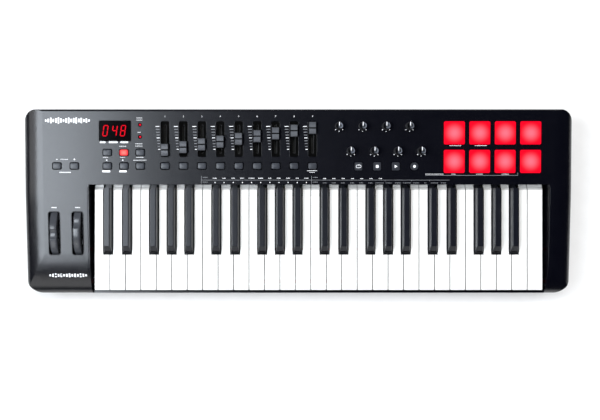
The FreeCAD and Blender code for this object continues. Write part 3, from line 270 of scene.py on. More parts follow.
def piece(name, shape, materials, body, replaces=()):
    """Makes the object, and ties it to its CAD body and the nodes it stands for."""
    mesh = bpy.data.meshes.new(name)
    mesh.from_pydata(shape.points, [], shape.faces)
    for material in materials:
        mesh.materials.append(material)
    mesh.polygons.foreach_set("material_index", shape.inks)
    work = bmesh.new()
    work.from_mesh(mesh)
    bmesh.ops.recalc_face_normals(work, faces=work.faces)
    work.to_mesh(mesh)
    work.free()
    mesh.shade_smooth()
    mesh.set_sharp_from_angle(angle=math.radians(SHARP_ANGLE))
    if any(shape.glow):
        layer = mesh.attributes.new("glow", "FLOAT", "POINT")
        layer.data.foreach_set("value", shape.glow)
    obj = bpy.data.objects.new(name, mesh)
    bpy.context.scene.collection.objects.link(obj)
    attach(obj, body)
    if replaces:
        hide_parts(*replaces)
    return obj


# ================================================================ materials
class Finish:
    """A Principled material while it is made. Grain sizes are in millimetres."""

    def __init__(self, name, **sockets):
        self.material = bpy.data.materials.new(name)
        self.material.use_nodes = True
        self.tree = self.material.node_tree
        self.shader = self.tree.nodes["Principled BSDF"]
        for socket, value in sockets.items():
            self.shader.inputs[socket.replace("_", " ")].default_value = value
        self.where = self.add("ShaderNodeTexCoord").outputs["Object"]

    def add(self, kind, inputs=(), **settings):
        node = self.tree.nodes.new(kind)
        for name, value in settings.items():
            setattr(node, name, value)
        for name, value in dict(inputs).items():
            if isinstance(value, bpy.types.NodeSocket):
                self.tree.links.new(value, node.inputs[name])
            else:
                node.inputs[name].default_value = value
        return node

    def noise(self, size, detail=2.0, stretch=(1, 1, 1)):
        """Noise with blotches of about that size, drawn out along the axes by stretch."""
        scale = [1 / (size * MM * s) for s in stretch]
        place = self.add("ShaderNodeMapping", {"Vector": self.where, "Scale": scale})
        made = self.add("ShaderNodeTexNoise", {"Vector": place.outputs[0], "Scale": 1.0, "Detail": detail})
        return made.outputs["Fac"]

    def between(self, source, low, high):
        """A number that runs from low to high with the noise."""
        least, most = NOISE_SPREAD
        values = {"Value": source, "From Min": least, "From Max": most, "To Min": low, "To Max": high}
        return self.add("ShaderNodeMapRange", values).outputs["Result"]

    def colours(self, source, first, second):
        """A colour that runs from the first to the second with the noise."""
        ramp = self.add("ShaderNodeValToRGB", {"Fac": source})
        for stop, place, colour in zip(ramp.color_ramp.elements, NOISE_SPREAD, (first, second)):
            stop.position = place
            stop.color = (*colour, 1.0)
        return ramp.outputs["Color"]

    def bump(self, source, depth):
        """A surface that the noise lifts by up to a depth in millimetres."""
        values = {"Height": source, "Distance": depth * MM, "Strength": 1.0}
        return self.add("ShaderNodeBump", values).outputs["Normal"]

    def link(self, output, socket):
        self.tree.links.new(output, self.shader.inputs[socket])


def plastic(name, shades, gloss, grain, depth, **sockets):
    """Moulded plastic: two close shades in soft clouds, uneven gloss and a fine grain."""
    finish = Finish(name, **sockets)
    finish.link(finish.colours(finish.noise(22.0), *shades), "Base Color")
    finish.link(finish.between(finish.noise(6.0, 4.0), *gloss), "Roughness")
    finish.link(finish.bump(finish.noise(grain, 3.0), depth), "Normal")
    return finish.material


def panel_black():
    shades = ((0.0010, 0.0011, 0.0026), (0.0014, 0.0015, 0.0032))
    return plastic("panel_black", shades, (0.25, 0.27), 0.35, 0.002)


def base_black():
    return plastic("base_black", ((0.010, 0.010, 0.011), (0.016, 0.016, 0.018)), (0.5, 0.6), 0.6, 0.02)


def key_white():
    """Glossy keys, greyer in the gaps between them, where light hardly reaches."""
    finish = Finish("key_white", Coat_Weight=0.25, Coat_Roughness=0.08)
    clouds = finish.colours(finish.noise(22.0), (0.59, 0.59, 0.58), (0.62, 0.62, 0.61))
    open_sky = finish.add("ShaderNodeAmbientOcclusion", {"Distance": 5 * MM}).outputs["AO"]
    values = {"Value": open_sky, "From Min": 0.25, "From Max": 0.75}
    light = finish.add("ShaderNodeMapRange", values).outputs["Result"]
    tints = {0: light, 6: (0.03, 0.026, 0.024, 1.0), 7: clouds}
    shaded = finish.add("ShaderNodeMix", tints, data_type="RGBA")
    finish.link(shaded.outputs[2], "Base Color")
    finish.link(finish.between(finish.noise(6.0, 4.0), 0.16, 0.22), "Roughness")
    finish.link(finish.bump(finish.noise(1.6, 3.0), 0.002), "Normal")
    return finish.material


def key_black():
    shades = ((0.003, 0.0034, 0.006), (0.0045, 0.005, 0.008))
    return plastic("key_black", shades, (0.30, 0.34), 0.5, 0.004)


def fader_black():
    shades = ((0.045, 0.048, 0.056), (0.058, 0.062, 0.070))
    return plastic("fader_black", shades, (0.30, 0.38), 0.4, 0.006)


def knob_black():
    return plastic("knob_black", ((0.008, 0.008, 0.010), (0.013, 0.013, 0.016)), (0.45, 0.55), 0.4, 0.006)


def knob_top():
    """Spun metal: its fine rings show a light as two wedges."""
    finish = Finish("knob_top", Metallic=1.0, Anisotropic=0.85, Base_Color=(0.10, 0.105, 0.12, 1.0))
    rings = finish.add("ShaderNodeTangent", direction_type="RADIAL", axis="Z")
    finish.link(rings.outputs["Tangent"], "Tangent")
    finish.link(finish.between(finish.noise(0.6, 3.0), 0.36, 0.42), "Roughness")
    finish.link(finish.bump(finish.noise(0.25, 2.0), 0.002), "Normal")
    return finish.material


def button_black():
    return plastic("button_black", ((0.016, 0.018, 0.024), (0.022, 0.025, 0.031)), (0.36, 0.44), 0.5, 0.008)


def unlit_black():
    """Painted shade: a dull black without reflections for what lies deep in the gaps, recesses and grooves."""
    shades = ((0.001, 0.001, 0.001), (0.002, 0.002, 0.002))
    return plastic("unlit_black", shades, (0.8, 0.9), 0.5, 0.01, Specular_IOR_Level=0.02)


def transport_grey():
    return plastic("transport_grey", ((0.009, 0.010, 0.014), (0.012, 0.013, 0.018)), (0.5, 0.6), 0.5, 0.008)


def wheel_black():
    return plastic("wheel_black", ((0.030, 0.032, 0.037), (0.042, 0.045, 0.052)), (0.22, 0.28), 0.45, 0.005)


def white_ink():
    return plastic("white_ink", ((0.66, 0.67, 0.69), (0.74, 0.75, 0.77)), (0.5, 0.6), 0.3, 0.004)


def dim_ink():
    return plastic("dim_ink", ((0.12, 0.125, 0.135), (0.16, 0.165, 0.175)), (0.5, 0.6), 0.3, 0.004)


def foot_rubber():
    return plastic("foot_rubber", ((0.012, 0.012, 0.012), (0.022, 0.022, 0.022)), (0.75, 0.9), 0.7, 0.03)


def dome_silicone():
    shades = ((0.50, 0.52, 0.52), (0.58, 0.60, 0.60))
    return plastic("dome_silicone", shades, (0.5, 0.6), 0.8, 0.01, Subsurface_Weight=0.2)


def component_black():
    return plastic("component_black", ((0.010, 0.010, 0.010), (0.018, 0.018, 0.018)), (0.4, 0.55), 0.4, 0.01)


def window_smoke():
    shades = ((0.0010, 0.0010, 0.0014), (0.0014, 0.0014, 0.0018))
    return plastic("window_smoke", shades, (0.10, 0.14), 3.0, 0.001, Specular_IOR_Level=0.02)


def metal(name, shades, gloss, streak):
    finish = Finish(name, Metallic=1.0)
    finish.link(finish.colours(finish.noise(14.0), *shades), "Base Color")
    finish.link(finish.between(finish.noise(0.8, 3.0, streak), *gloss), "Roughness")
    finish.link(finish.bump(finish.noise(0.3, 2.0, streak), 0.003), "Normal")
    return finish.material


def chassis_grey():
    return metal("chassis_grey", ((0.42, 0.43, 0.44), (0.52, 0.53, 0.54)), (0.36, 0.5), (1, 1, 1))


def steel():
    return metal("steel", ((0.52, 0.52, 0.53), (0.62, 0.62, 0.63)), (0.2, 0.34), (12, 1, 1))


def screw_steel():
    return metal("screw_steel", ((0.12, 0.12, 0.13), (0.2, 0.2, 0.21)), (0.3, 0.45), (1, 1, 6))


def board_green():
    """Solder resist over copper tracks."""
    finish = Finish("board_green", Coat_Weight=0.4, Coat_Roughness=0.15)
    tracks = finish.noise(2.4, 0.0, (5, 1, 1))
    finish.link(finish.colours(tracks, (0.010, 0.07, 0.025), (0.02, 0.13, 0.05)), "Base Color")
    finish.link(finish.between(finish.noise(3.0), 0.35, 0.5), "Roughness")
    finish.link(finish.bump(tracks, 0.03), "Normal")
    return finish.material


def felt_red():
    finish = Finish("felt_red", Sheen_Weight=0.6, Sheen_Roughness=0.5)
    fibres = finish.noise(0.5, 5.0, (3, 1, 1))
    finish.link(finish.colours(fibres, (0.16, 0.01, 0.012), (0.34, 0.03, 0.03)), "Base Color")
    finish.link(finish.between(fibres, 0.85, 0.98), "Roughness")
    finish.link(finish.bump(fibres, 0.15), "Normal")
    return finish.material


def led_red():
    finish = Finish("led_red", Emission_Strength=1.0, Roughness=0.4, Specular_IOR_Level=0.05)
    finish.link(finish.colours(finish.noise(1.2), (0.45, 0.0, 0.008), (0.75, 0.004, 0.016)), "Emission Color")
    finish.link(finish.colours(finish.noise(1.2), (0.25, 0.0, 0.004), (0.35, 0.0, 0.01)), "Base Color")
    finish.link(finish.bump(finish.noise(0.6), 0.01), "Normal")
    return finish.material


def lit_rubber(name, rim, middle):
    """Milky rubber with a lamp under it, which glows brightest over the lamp. Its skin has a fine grain."""
    skin = {"Specular_IOR_Level": 0.05, "Base_Color": (0.10, 0.0, 0.002, 1.0)}
    finish = Finish(name, Emission_Strength=1.0, **skin)
    lamp = finish.add("ShaderNodeAttribute", attribute_name="glow").outputs["Fac"]
    ramp = finish.add("ShaderNodeValToRGB", {"Fac": lamp})
    for stop, colour in zip(ramp.color_ramp.elements, (rim, middle)):
        stop.color = (*colour, 1.0)
    finish.link(ramp.outputs["Color"], "Emission Color")
    finish.link(finish.between(finish.noise(4.0), 0.5, 0.6), "Roughness")
    finish.link(finish.bump(finish.noise(0.5, 3.0), 0.012), "Normal")
    return finish.material


def pad_red():
    return lit_rubber("pad_red", (0.98, 0.0, 0.017), (1.0, 0.198, 0.266))


def button_lit():
    return lit_rubber("button_lit", (0.85, 0.0, 0.02), (1.0, 0.30, 0.26))


def segment_red():
    surface = {"Specular_IOR_Level": 0.0, "Base_Color": (0.1, 0.0, 0.0, 1.0)}
    finish = Finish("segment_red", Emission_Strength=1.0, **surface)
    light = finish.colours(finish.noise(3.0), (0.72, 0.004, 0.018), (0.95, 0.010, 0.03))
    finish.link(light, "Emission Color")
    finish.link(finish.bump(finish.noise(0.8), 0.004), "Normal")
    return finish.material


CARRIED = {
    "panel_black": panel_black,
    "base_black": base_black,
    "screw_steel": screw_steel,
    "foot_rubber": foot_rubber,
    "key_white": key_white,
    "key_black": key_black,
    "chassis_grey": chassis_grey,
    "steel": steel,
    "board_green": board_green,
    "dome_silicone": dome_silicone,
    "felt_red": felt_red,
    "component_black": component_black,
    "window_smoke": window_smoke,
    "led_red": led_red,
    "fader_black": fader_black,
    "knob_black": knob_black,
    "button_black": button_black,
    "transport_grey": transport_grey,
    "wheel_black": wheel_black,
    "pad_red": pad_red,
}


def dress_cad():
    """Gives every CAD node the finish of its slot."""
    for subpart in frame["record"]["subparts"]:
        mesh = frame["nodes"][subpart["node"]].data
        mesh.materials.clear()
        mesh.materials.append(finishes[subpart["material_slot"]])


# ================================================================ buttons, faders and knobs
def joint_of(body):
    return next(joint for joint in frame["joints"] if joint["child"] == body)


def pivot(body):
    """Where the joint of a body is, in metres."""
    return Vector(joint_of(body)["pos_m"])


def shrunk(size, inset):
    """The sides of a rectangle that is drawn in by inset all round."""
    return [side - 2 * inset for side in size]


def under_panel(shape, centre, size, ink):
    """The flange that keeps a button in the panel, and the stem that works its switch."""
    prism(shape, rounded(centre, size, 1.5), FLANGE_W, ink)
    prism(shape, rounded(centre, (3.0, 3.0), 0.4, 2), (STEM_LOW_W, FLANGE_W[0]), ink)


def buttons(node):
    """Soft caps that swell a little. Their flanges and stems are below the panel."""
    shape = Shape(panel)
    for i, place in enumerate(middles(node, panel)):
        lit = node == "edit_buttons" and i == LIT_BUTTON
        inks = (2, 1) if lit else (0, 0)
        reach = BUTTON_GLOW if lit else None

        def plan(inset):
            return rounded(place, shrunk(BUTTON_CAP, inset), BUTTON_CORNER - inset)

        cap(shape, plan, FLANGE_W[1], BUTTON_RISE, edge=0.7, crown=0.45, inks=inks, reach=reach)
        # flange and stem in painted-shade black, so the gap round the cap reads dark
        under_panel(shape, place, BUTTON_FLANGE, 2)
    materials = [finishes["button_black"], finishes["button_lit"], finishes["unlit_black"]]
    piece(node + "_caps", shape, materials, node, [node])


def transport_plan(i, place, inset):
    """The record button, the last one, is round. The others are rounded rectangles."""
    if i == 3:
        across = sum(TRANSPORT_CAP) / 2
        return rounded(place, shrunk((across, across), inset), across / 2 - inset)
    return rounded(place, shrunk(TRANSPORT_CAP, inset), TRANSPORT_CORNER - inset)


def loop_icon(shape, centre, w):
    """An oval track with an arrow head on its lower run."""
    wide, tall, line = 8.0, 4.6, 0.6
    outer = rounded(centre, (wide, tall), tall / 2 - 0.01)
    inner = rounded(centre, (wide - 2 * line, tall - 2 * line), tall / 2 - line - 0.01)
    levels = ((outer, w[0]), (outer, w[1]), (inner, w[1]), (inner, w[0]))
    loops = [shape.loop(lifted(outline, height)) for outline, height in levels]
    shape.skin(loops + loops[:1], 1)
    x, y = centre[0], centre[1] + tall / 2 - line / 2
    prism(shape, [(x - 0.9, y), (x + 0.9, y + 1.3), (x + 0.9, y - 1.3)], w, 1)


def transport_buttons():
    """Loop, stop, play and record, each with its sign printed in white."""
    shape = Shape(panel)
    top = TRANSPORT_RISE
    ink_w = (top - 0.05, top + 0.06)
    for i, place in enumerate(middles("transport_buttons", panel)):
        cap(shape, lambda inset: transport_plan(i, place, inset), FLANGE_W[1], top, edge=0.5, crown=0.0)
        # flange and stem in painted-shade black, so the gap round the cap reads dark
        under_panel(shape, place, TRANSPORT_FLANGE, 2)
        x, y = place
        if i == 0:
            loop_icon(shape, place, ink_w)
        if i == 1:
            prism(shape, rounded(place, (3.9, 3.9), 0.5), ink_w, 1)
        if i == 2:
            prism(shape, [(x - 1.7, y - 2.3), (x + 2.5, y), (x - 1.7, y + 2.3)], ink_w, 1)
        if i == 3:
            prism(shape, circle(place, 2.0), ink_w, 1)
    materials = [finishes["transport_grey"], finishes["white_ink"], finishes["unlit_black"]]
    node = "transport_buttons"
    piece("transport_button_caps", shape, materials, node, [node])


def fader_profile():
    """Half of a slider cap from the side: the middle groove, a ridge, the dished slope and the end."""
    groove = [(GROOVE_HALF, 5.6), (GROOVE_HALF + 0.02, 7.2), (1.0, 7.65)]
    shares = (0, 0.2, 0.4, 0.6, 0.8, 1.0)
    dish = [(1.15 + 6.95 * t, 7.75 - 0.45 * math.sin(math.pi * t) + 1.0 * t) for t in shares]
    end = [(8.45, 8.55), (8.75, 7.9), (8.9, 6.6), (8.9, 0.5)]
    return groove + dish + end


def fader_cap(number):
    """A slider cap with its lever, and a block of painted shade, dull black, in the groove across its top."""
    body = f"fader_{number}"
    low, high = solids(body, panel)[0]
    x, y = (low.x + high.x) / 2, (low.y + high.y) / 2
    half = fader_profile()
    outline = [(-a, w) for a, w in reversed(half)] + half
    shape = Shape(panel)
    sides = [FADER_CAP[0] / 2 - 0.35, FADER_CAP[0] / 2]
    stations = [(-sides[1], 0.35), (-sides[0], 0.0), (sides[0], 0.0), (sides[1], 0.35)]
    loops = []
    for across, inset in stations:
        corners = []
        for along, w in outline:
            pull = inset if w > 1.0 else 0.0
            shrink = inset * (1 if along > 0 else -1) if abs(along) > 8.0 else 0.0
            corners.append((x + across, y + along - shrink, w - pull))
        loops.append(shape.loop(corners))
    shape.stack(loops)
    prism(shape, rounded((x, y), (1.6, 7.0), 0.4, 2), (low.z, 0.6))
    # painted shade: a dull black block fills the groove so it reads dark
    prism(shape, rounded((x, y), (FADER_CAP[0] - 0.1, 2 * GROOVE_HALF - 0.04), 0.1, 1), (5.0, 7.3), 1)
    materials = [finishes["fader_black"], finishes["unlit_black"]]
    piece(body + "_cap", shape, materials, body, [body])


def knob_loop(shape, centre, radius, w, flute):
    """A ring of points round a knob, drawn in at its flutes."""
    corners = []
    for i in range(KNOB_STEPS):
        turn = 2 * math.pi * i / KNOB_STEPS
        dip = flute * (0.5 + 0.5 * math.cos(KNOB_FLUTES * turn)) ** 3
        reach = radius - dip
        corners.append((centre[0] + reach * math.cos(turn), centre[1] + reach * math.sin(turn), w))
    return shape.loop(corners)


def knob_cap(number):
    """A fluted cap with a skirt, a spun top and a white pointer, on its shaft."""
    body = f"knob_{number}"
    place = panel.local(pivot(body))
    centre = (place.x, place.y)
    side = [(3.2, 0.9, 0), (6.1, 0.8, 0), (6.2, 1.1, 0), (6.15, 1.9, 0), (5.95, 2.3, 0.1), (5.85, 2.6, 0.34)]
    side += [(5.6, 12.6, 0.34), (5.55, 13.4, 0.2), (5.5, 13.9, 0.0), (5.35, 14.4, 0.0), (5.1, 14.7, 0.0)]
    dish = [(4.9, KNOB_HEIGHT, 0.0), (4.75, 14.7, 0.0), (2.6, 14.68, 0.0), (0.35, 14.66, 0.0)]
    shape = Shape(panel)
    side_loops = [knob_loop(shape, centre, *level) for level in side]
    dish_loops = [knob_loop(shape, centre, *level) for level in dish]
    shape.skin(side_loops + dish_loops[:1])
    shape.skin(dish_loops, 1)
    shape.face(dish_loops[-1], 1)
    shape.face(reversed(side_loops[0]))
    pointer = [(0.3, 14.85), (4.7, 14.9), (5.15, 14.9), (5.5, 14.45), (5.72, 13.6), (5.78, 12.0)]
    drop = 0.5
    loops = []
    for reach, w in pointer:
        x, y = centre[0], centre[1] + reach
        low = [(x - 0.65, y - drop, w - drop), (x + 0.65, y - drop, w - drop)]
        loops.append(shape.loop(low + [(x + 0.5, y, w), (x - 0.5, y, w)]))
    shape.stack(loops, 2)
    prism(shape, circle(centre, 3.0), (-8.0, 3.0))
    materials = [finishes["knob_black"], finishes["knob_top"], finishes["white_ink"]]
    piece(body + "_cap", shape, materials, body, [body])


def drum_pads():
    """Rubber pads lit from below, brightest in the middle."""
    shape = Shape(panel)
    for place in middles("drum_pads", panel):

        def plan(inset):
            return rounded(place, shrunk(PAD_SIZE, inset), PAD_CORNER - inset, side_steps=12)

        glow = {"inks": (1, 0), "rings": 12, "reach": PAD_GLOW}
        cap(shape, plan, FLANGE_W[1], PAD_RISE, edge=0.8, crown=0.25, **glow)
        # flange and plunger in painted-shade black, so the gap round the pad reads dark
        prism(shape, rounded(place, PAD_FLANGE, 2.0), PAD_FLANGE_W, 1)
        prism(shape, rounded(place, PAD_PLUNGER, 3.0), (PAD_PLUNGER_LOW_W, PAD_FLANGE_W[0]), 1)
    materials = [finishes["pad_red"], finishes["unlit_black"]]
    piece("drum_pad_caps", shape, materials, "drum_pads", ["drum_pads"])


# ================================================================ wheels
def rim_radius(angle):
    """The wheel's radius at an angle from its notch, in degrees."""
    turn = math.radians(angle)
    middle = WHEEL_RADIUS + NOTCH_RADIUS - NOTCH_DEPTH
    spare = NOTCH_RADIUS**2 - (middle * math.sin(turn)) ** 2
    if spare <= 0:
        return WHEEL_RADIUS
    return min(WHEEL_RADIUS, middle * math.cos(turn) - math.sqrt(spare))


def wheel(name, notch_angle, shaft):
    """A wheel that is cut to a sector: rim, web, hub and stepped shaft, turning on its CAD axis."""
    axis = pivot(name)

    def place(x, radius, angle):
        turn = math.radians(angle + notch_angle)
        return axis + Vector((x, -radius * math.sin(turn), radius * math.cos(turn))) * MM

    half = WHEEL_HALF_WIDTH
    shape = Shape(place)
    angles = sorted(set(range(-WHEEL_SECTOR, WHEEL_SECTOR + 1, 3)) | set(range(-15, 16)))
    rim = []
    for angle in angles:
        top = rim_radius(angle)
        edge = [(half, top - 1.3), (half - 0.35, top - 0.5), (half - 1.1, top - 0.1)]
        side = [(half, RIM_INNER_RADIUS), *edge, (2.0, top)]
        section = side + [(-x, r) for x, r in reversed(side)]
        rim.append(shape.loop([(x, r, angle) for x, r in section]))
    shape.stack(rim)
    near, far = HUB_RADIUS - 1.0, RIM_INNER_RADIUS + 0.6
    web = []
    for angle in range(-WHEEL_SECTOR, WHEEL_SECTOR + 1, 3):
        web.append(shape.loop([(2, near, angle), (2, far, angle), (-2, far, angle), (-2, near, angle)]))
    shape.stack(web)
    rounds = [((-half, half), HUB_RADIUS), (shaft[:2], SHAFT_RADII[0]), (shaft[1:], SHAFT_RADII[1])]
    for ends, radius in rounds:
        shape.stack([shape.loop([(x, radius, angle) for angle in range(0, 360, 10)]) for x in ends])
    piece(name + "_moulding", shape, [finishes["wheel_black"]], name, [name])


# ================================================================ rims on the case
def panel_rims():
    """Thin raised rims round the slider recesses, the display and the lamps."""
    shape = Shape(panel)
    for x in fader_columns:
        bead(shape, (x, fader_y), FADER_RECESS, radius=2.5, width=0.7, height=0.3)
    bead(shape, display_middle, DISPLAY_SIZE, radius=1.2, width=0.8, height=0.3)
    for place in middles("status_leds", panel):
        bead(shape, place, (3.4, 3.4), radius=1.69, width=1.3, height=0.3, ink=1)
    piece("panel_rims", shape, [finishes["panel_black"], finishes["unlit_black"]], "root")


def opening_rails():
    """A thin raised line along each side block, beside the keys."""
    profile = []
    for i in range(7):
        turn = math.pi * i / 6
        profile.append((RAIL_HALF_WIDTH * math.cos(turn), RAIL_HEIGHT * math.sin(turn) - ROOT_DEPTH))
    places = {"left_rail": KEYS_ROOM[0] - RAIL_SET_BACK, "right_rail": KEYS_ROOM[1] + RAIL_SET_BACK}
    for name, x in places.items():
        shape = Shape(on_case)
        loops = []
        for step in range(RAIL_STEPS + 1):
            y = RAIL_Y[0] + (RAIL_Y[1] - RAIL_Y[0]) * step / RAIL_STEPS
            loops.append(shape.loop([(x + across, y, w) for across, w in profile]))
        shape.stack(loops)
        piece(name, shape, [finishes["panel_black"]], "root")


def recess_floors():
    """A sheet of painted shade, matt black, on the floor of each slider recess, round the slot in it."""
    shape = Shape(panel)
    low, high = RECESS_FLOOR_W
    for x in fader_columns:
        outer = rounded((x, fader_y), shrunk(FADER_RECESS, 0.15), 2.3)
        inner = rounded((x, fader_y), FADER_SLOT, 1.5)
        # painted shade: the recess floor is drawn dull black so it reads dark
        levels = ((outer, low), (outer, high), (inner, high), (inner, low))
        loops = [shape.loop(lifted(outline, w)) for outline, w in levels]
        shape.skin(loops + loops[:1])
    piece("recess_floors", shape, [finishes["unlit_black"]], "root")


def wheel_slot_rims():
    """A raised rim round the slot of each wheel."""
    shape = Shape(cheek)
    for name in ("pitch_wheel", "mod_wheel"):
        middle = (joint_of(name)["pos_m"][0] / MM, WHEEL_SLOT_Y)
        bead(shape, middle, WHEEL_SLOT, radius=3.0, width=1.3, height=0.55)
    piece("wheel_slot_rims", shape, [finishes["panel_black"]], "root")


# ================================================================ display
SEGMENTS = {"0": "abcdef", "4": "bcfg", "8": "abcdefg"}
SEGMENT_ENDS = {
    "a": ((0, 1), (1, 1)),
    "b": ((1, 1), (1, 0.5)),
    "c": ((1, 0.5), (1, 0)),
    "d": ((0, 0), (1, 0)),
    "e": ((0, 0.5), (0, 0)),
    "f": ((0, 1), (0, 0.5)),
    "g": ((0, 0.5), (1, 0.5)),
}


def display_digits():
    """A three-figure reading in slanted seven-segment digits."""
    shape = Shape(panel)
    wide, tall = DIGIT_SIZE
    levels = [DISPLAY_TOP_W + w for w in INK_W]
    for digit, offset in zip(READING, DIGIT_LEFTS):
        left = display_middle[0] + offset
        low = display_middle[1] + DIGIT_LOW
        for segment in SEGMENTS[digit]:
            ends = [Vector((u * wide, v * tall)) for u, v in SEGMENT_ENDS[segment]]
            run = (ends[1] - ends[0]).normalized()
            side = Vector((-run.y, run.x)) * SEGMENT_HALF_WIDTH
            slope = run * SEGMENT_HALF_WIDTH
            start, stop = ends[0] + run * 0.25, ends[1] - run * 0.25
            corners = [start, start + slope + side, stop - slope + side]
            corners += [stop, stop - slope - side, start + slope - side]
            outline = [(left + p.x + DIGIT_SLANT * p.y, low + p.y) for p in corners]
            prism(shape, outline, levels)
    piece("display_digits", shape, [finishes["segment_red"]], "root")


# ================================================================ printed marks
def mark(shape, x, y, radius, ink=0):
    """A printed bar between limits in x and y, with rounded corners where it is wide enough."""
    size = (x[1] - x[0], y[1] - y[0])
    centre = ((x[0] + x[1]) / 2, (y[0] + y[1]) / 2)
    outline = rounded(centre, size, min(radius, size[0] / 2 - 0.01, size[1] / 2 - 0.01), 3)
    prism(shape, outline, INK_W, ink)


def print_line(shape, x, y, height=0.9, ink=0):
    """A row of short dashes that stands for a line of print."""
    widths = [1.0, 0.7, 1.3, 0.8]
    gap = 0.6
    at, i = x[0], 0
    while at < x[1] - 0.5:
        end = min(at + widths[i % len(widths)], x[1])
        mark(shape, (at, end), (y - height / 2, y + height / 2), 0.3, ink)
        at, i = end + gap, i + 1


def stroke(shape, start, stop, width, ink=0):
    """A straight printed line between two points."""
    run = Vector((stop[0] - start[0], stop[1] - start[1]))
    side = Vector((-run.y, run.x)).normalized() * (width / 2)
    corners = [(start[0] - side.x, start[1] - side.y), (stop[0] - side.x, stop[1] - side.y)]
    corners += [(stop[0] + side.x, stop[1] + side.y), (start[0] + side.x, start[1] + side.y)]
    prism(shape, corners, INK_W, ink)


def level_bars(shape, centre, size, heights):
    """An ornament: a row of upright bars, as a sound level meter draws them."""
    pitch = size[0] / len(heights)
    half_bar = 0.31 * pitch
    for i, height in enumerate(heights):
        x = centre[0] - size[0] / 2 + (i + 0.5) * pitch
        half = size[1] * height / 2
        mark(shape, (x - half_bar, x + half_bar), (centre[1] - half, centre[1] + half), 0.4)


def numeral(shape, text, x, y, height):
    """A plain figure of that height, centred on x, y and printed flat on the face."""
    figure_share = 0.7  # of the font's size
    curve = bpy.data.curves.new("numeral", "FONT")
    curve.body = text
    curve.size = height / figure_share
    curve.align_x = "CENTER"
    curve.align_y = "CENTER"
    obj = bpy.data.objects.new("numeral", curve)
    mesh = bpy.data.meshes.new_from_object(obj)
    index = shape.loop([(x + v.co.x, y + v.co.y, INK_W[1]) for v in mesh.vertices])
    for polygon in mesh.polygons:
        shape.face([index[i] for i in polygon.vertices])
    bpy.data.objects.remove(obj)
    bpy.data.curves.remove(curve)
    bpy.data.meshes.remove(mesh)


def octave_marks(shape):
    """Minus and plus over the two octave buttons, a label between them and one below."""
    left, right = middles("octave_buttons", panel)
    y = 62.2
    stroke(shape, (left[0] - 1.3, y), (left[0] + 1.3, y), 0.8)
    stroke(shape, (right[0] - 1.3, y), (right[0] + 1.3, y), 0.8)
    stroke(shape, (right[0], y - 1.3), (right[0], y + 1.3), 0.8)
    print_line(shape, (-353.5, -342.2), y)
    print_line(shape, (-355.3, -338.1), 42.9, 1.6)


def edit_marks(shape):
    """Solid labels under the display and the lower buttons, lines of print round the others, and arrows."""
    for x in ((-295.0, -286.5), (-281.6, -268.6), (-264.4, -252.9)):
        mark(shape, x, (86.4, 89.4), 0.7)
    for x in ((-291.7, -279.8), (-266.3, -255.4)):
        mark(shape, x, (43.0, 45.8), 0.7)
    lines = [(-266.3, -255.9, 81.7), (-242.4, -231.2, 85.3), (-242.4, -231.2, 81.9), (-290.2, -282.8, 65.3)]
    lines += [(-264.8, -257.4, 65.3), (-240.9, -230.5, 65.3), (-245.4, -226.0, 61.0)]
    lines += [(-240.2, -231.2, 123.6), (-240.2, -231.2, 120.4), (-238.7, -233.5, 102.3)]
    for left, right, y in lines:
        print_line(shape, (left, right), y)
    for x in (-285.3, -261.4):
        prism(shape, [(x - 1.2, 61.0), (x + 1.0, 62.3), (x + 1.0, 59.7)], INK_W)


def fader_marks(shape):
    """Numbers over the sliders, and scales beside them whose ticks grow towards the top."""
    ticks = 9
    for number, x in enumerate(fader_columns, 1):
        numeral(shape, str(number), x, 125.8, 2.4)
        for i in range(ticks):
            grown = i / (ticks - 1)
            y = 77.1 + 4.24 * i
            right = x - FADER_RECESS[0] / 2 - 0.9 - 1.0 * grown
            bright = i in (0, ticks // 2, ticks - 1)
            length = 3.2 + 2.8 * grown
            mark(shape, (right - length, right), (y - 0.45, y + 0.45), 0.2, 0 if bright else 1)
    last = fader_columns[-1]
    print_line(shape, (last - 8.1, last + 6.8), 45.4)
    print_line(shape, (last - 4.2, last + 3.0), 42.9)


def knob_marks(shape):
    """Three short strokes round the lower side of each knob."""
    for number in range(1, 9):
        place = panel.local(pivot(f"knob_{number}"))
        for angle, near, far in ((-135, 6.7, 8.3), (-90, 7.1, 8.2), (-45, 6.7, 8.3)):
            turn = math.radians(angle)
            ends = [(place.x + r * math.cos(turn), place.y + r * math.sin(turn)) for r in (near, far)]
            stroke(shape, *ends, 1.1)


def pad_marks(shape):
    """Labels under the pads, and a bracket below the lower row."""
    for x in ((225.0, 241.5), (262.4, 280.3)):
        print_line(shape, x, 82.6)
    for x in ((189.2, 216.1), (228.0, 234.7), (264.6, 274.3), (302.7, 313.1)):
        print_line(shape, x, 40.3)
    stroke(shape, (189.2, 38.4), (326.6, 38.4), 0.6, 1)
    stroke(shape, (326.4, 38.1), (326.4, 42.6), 0.6, 1)


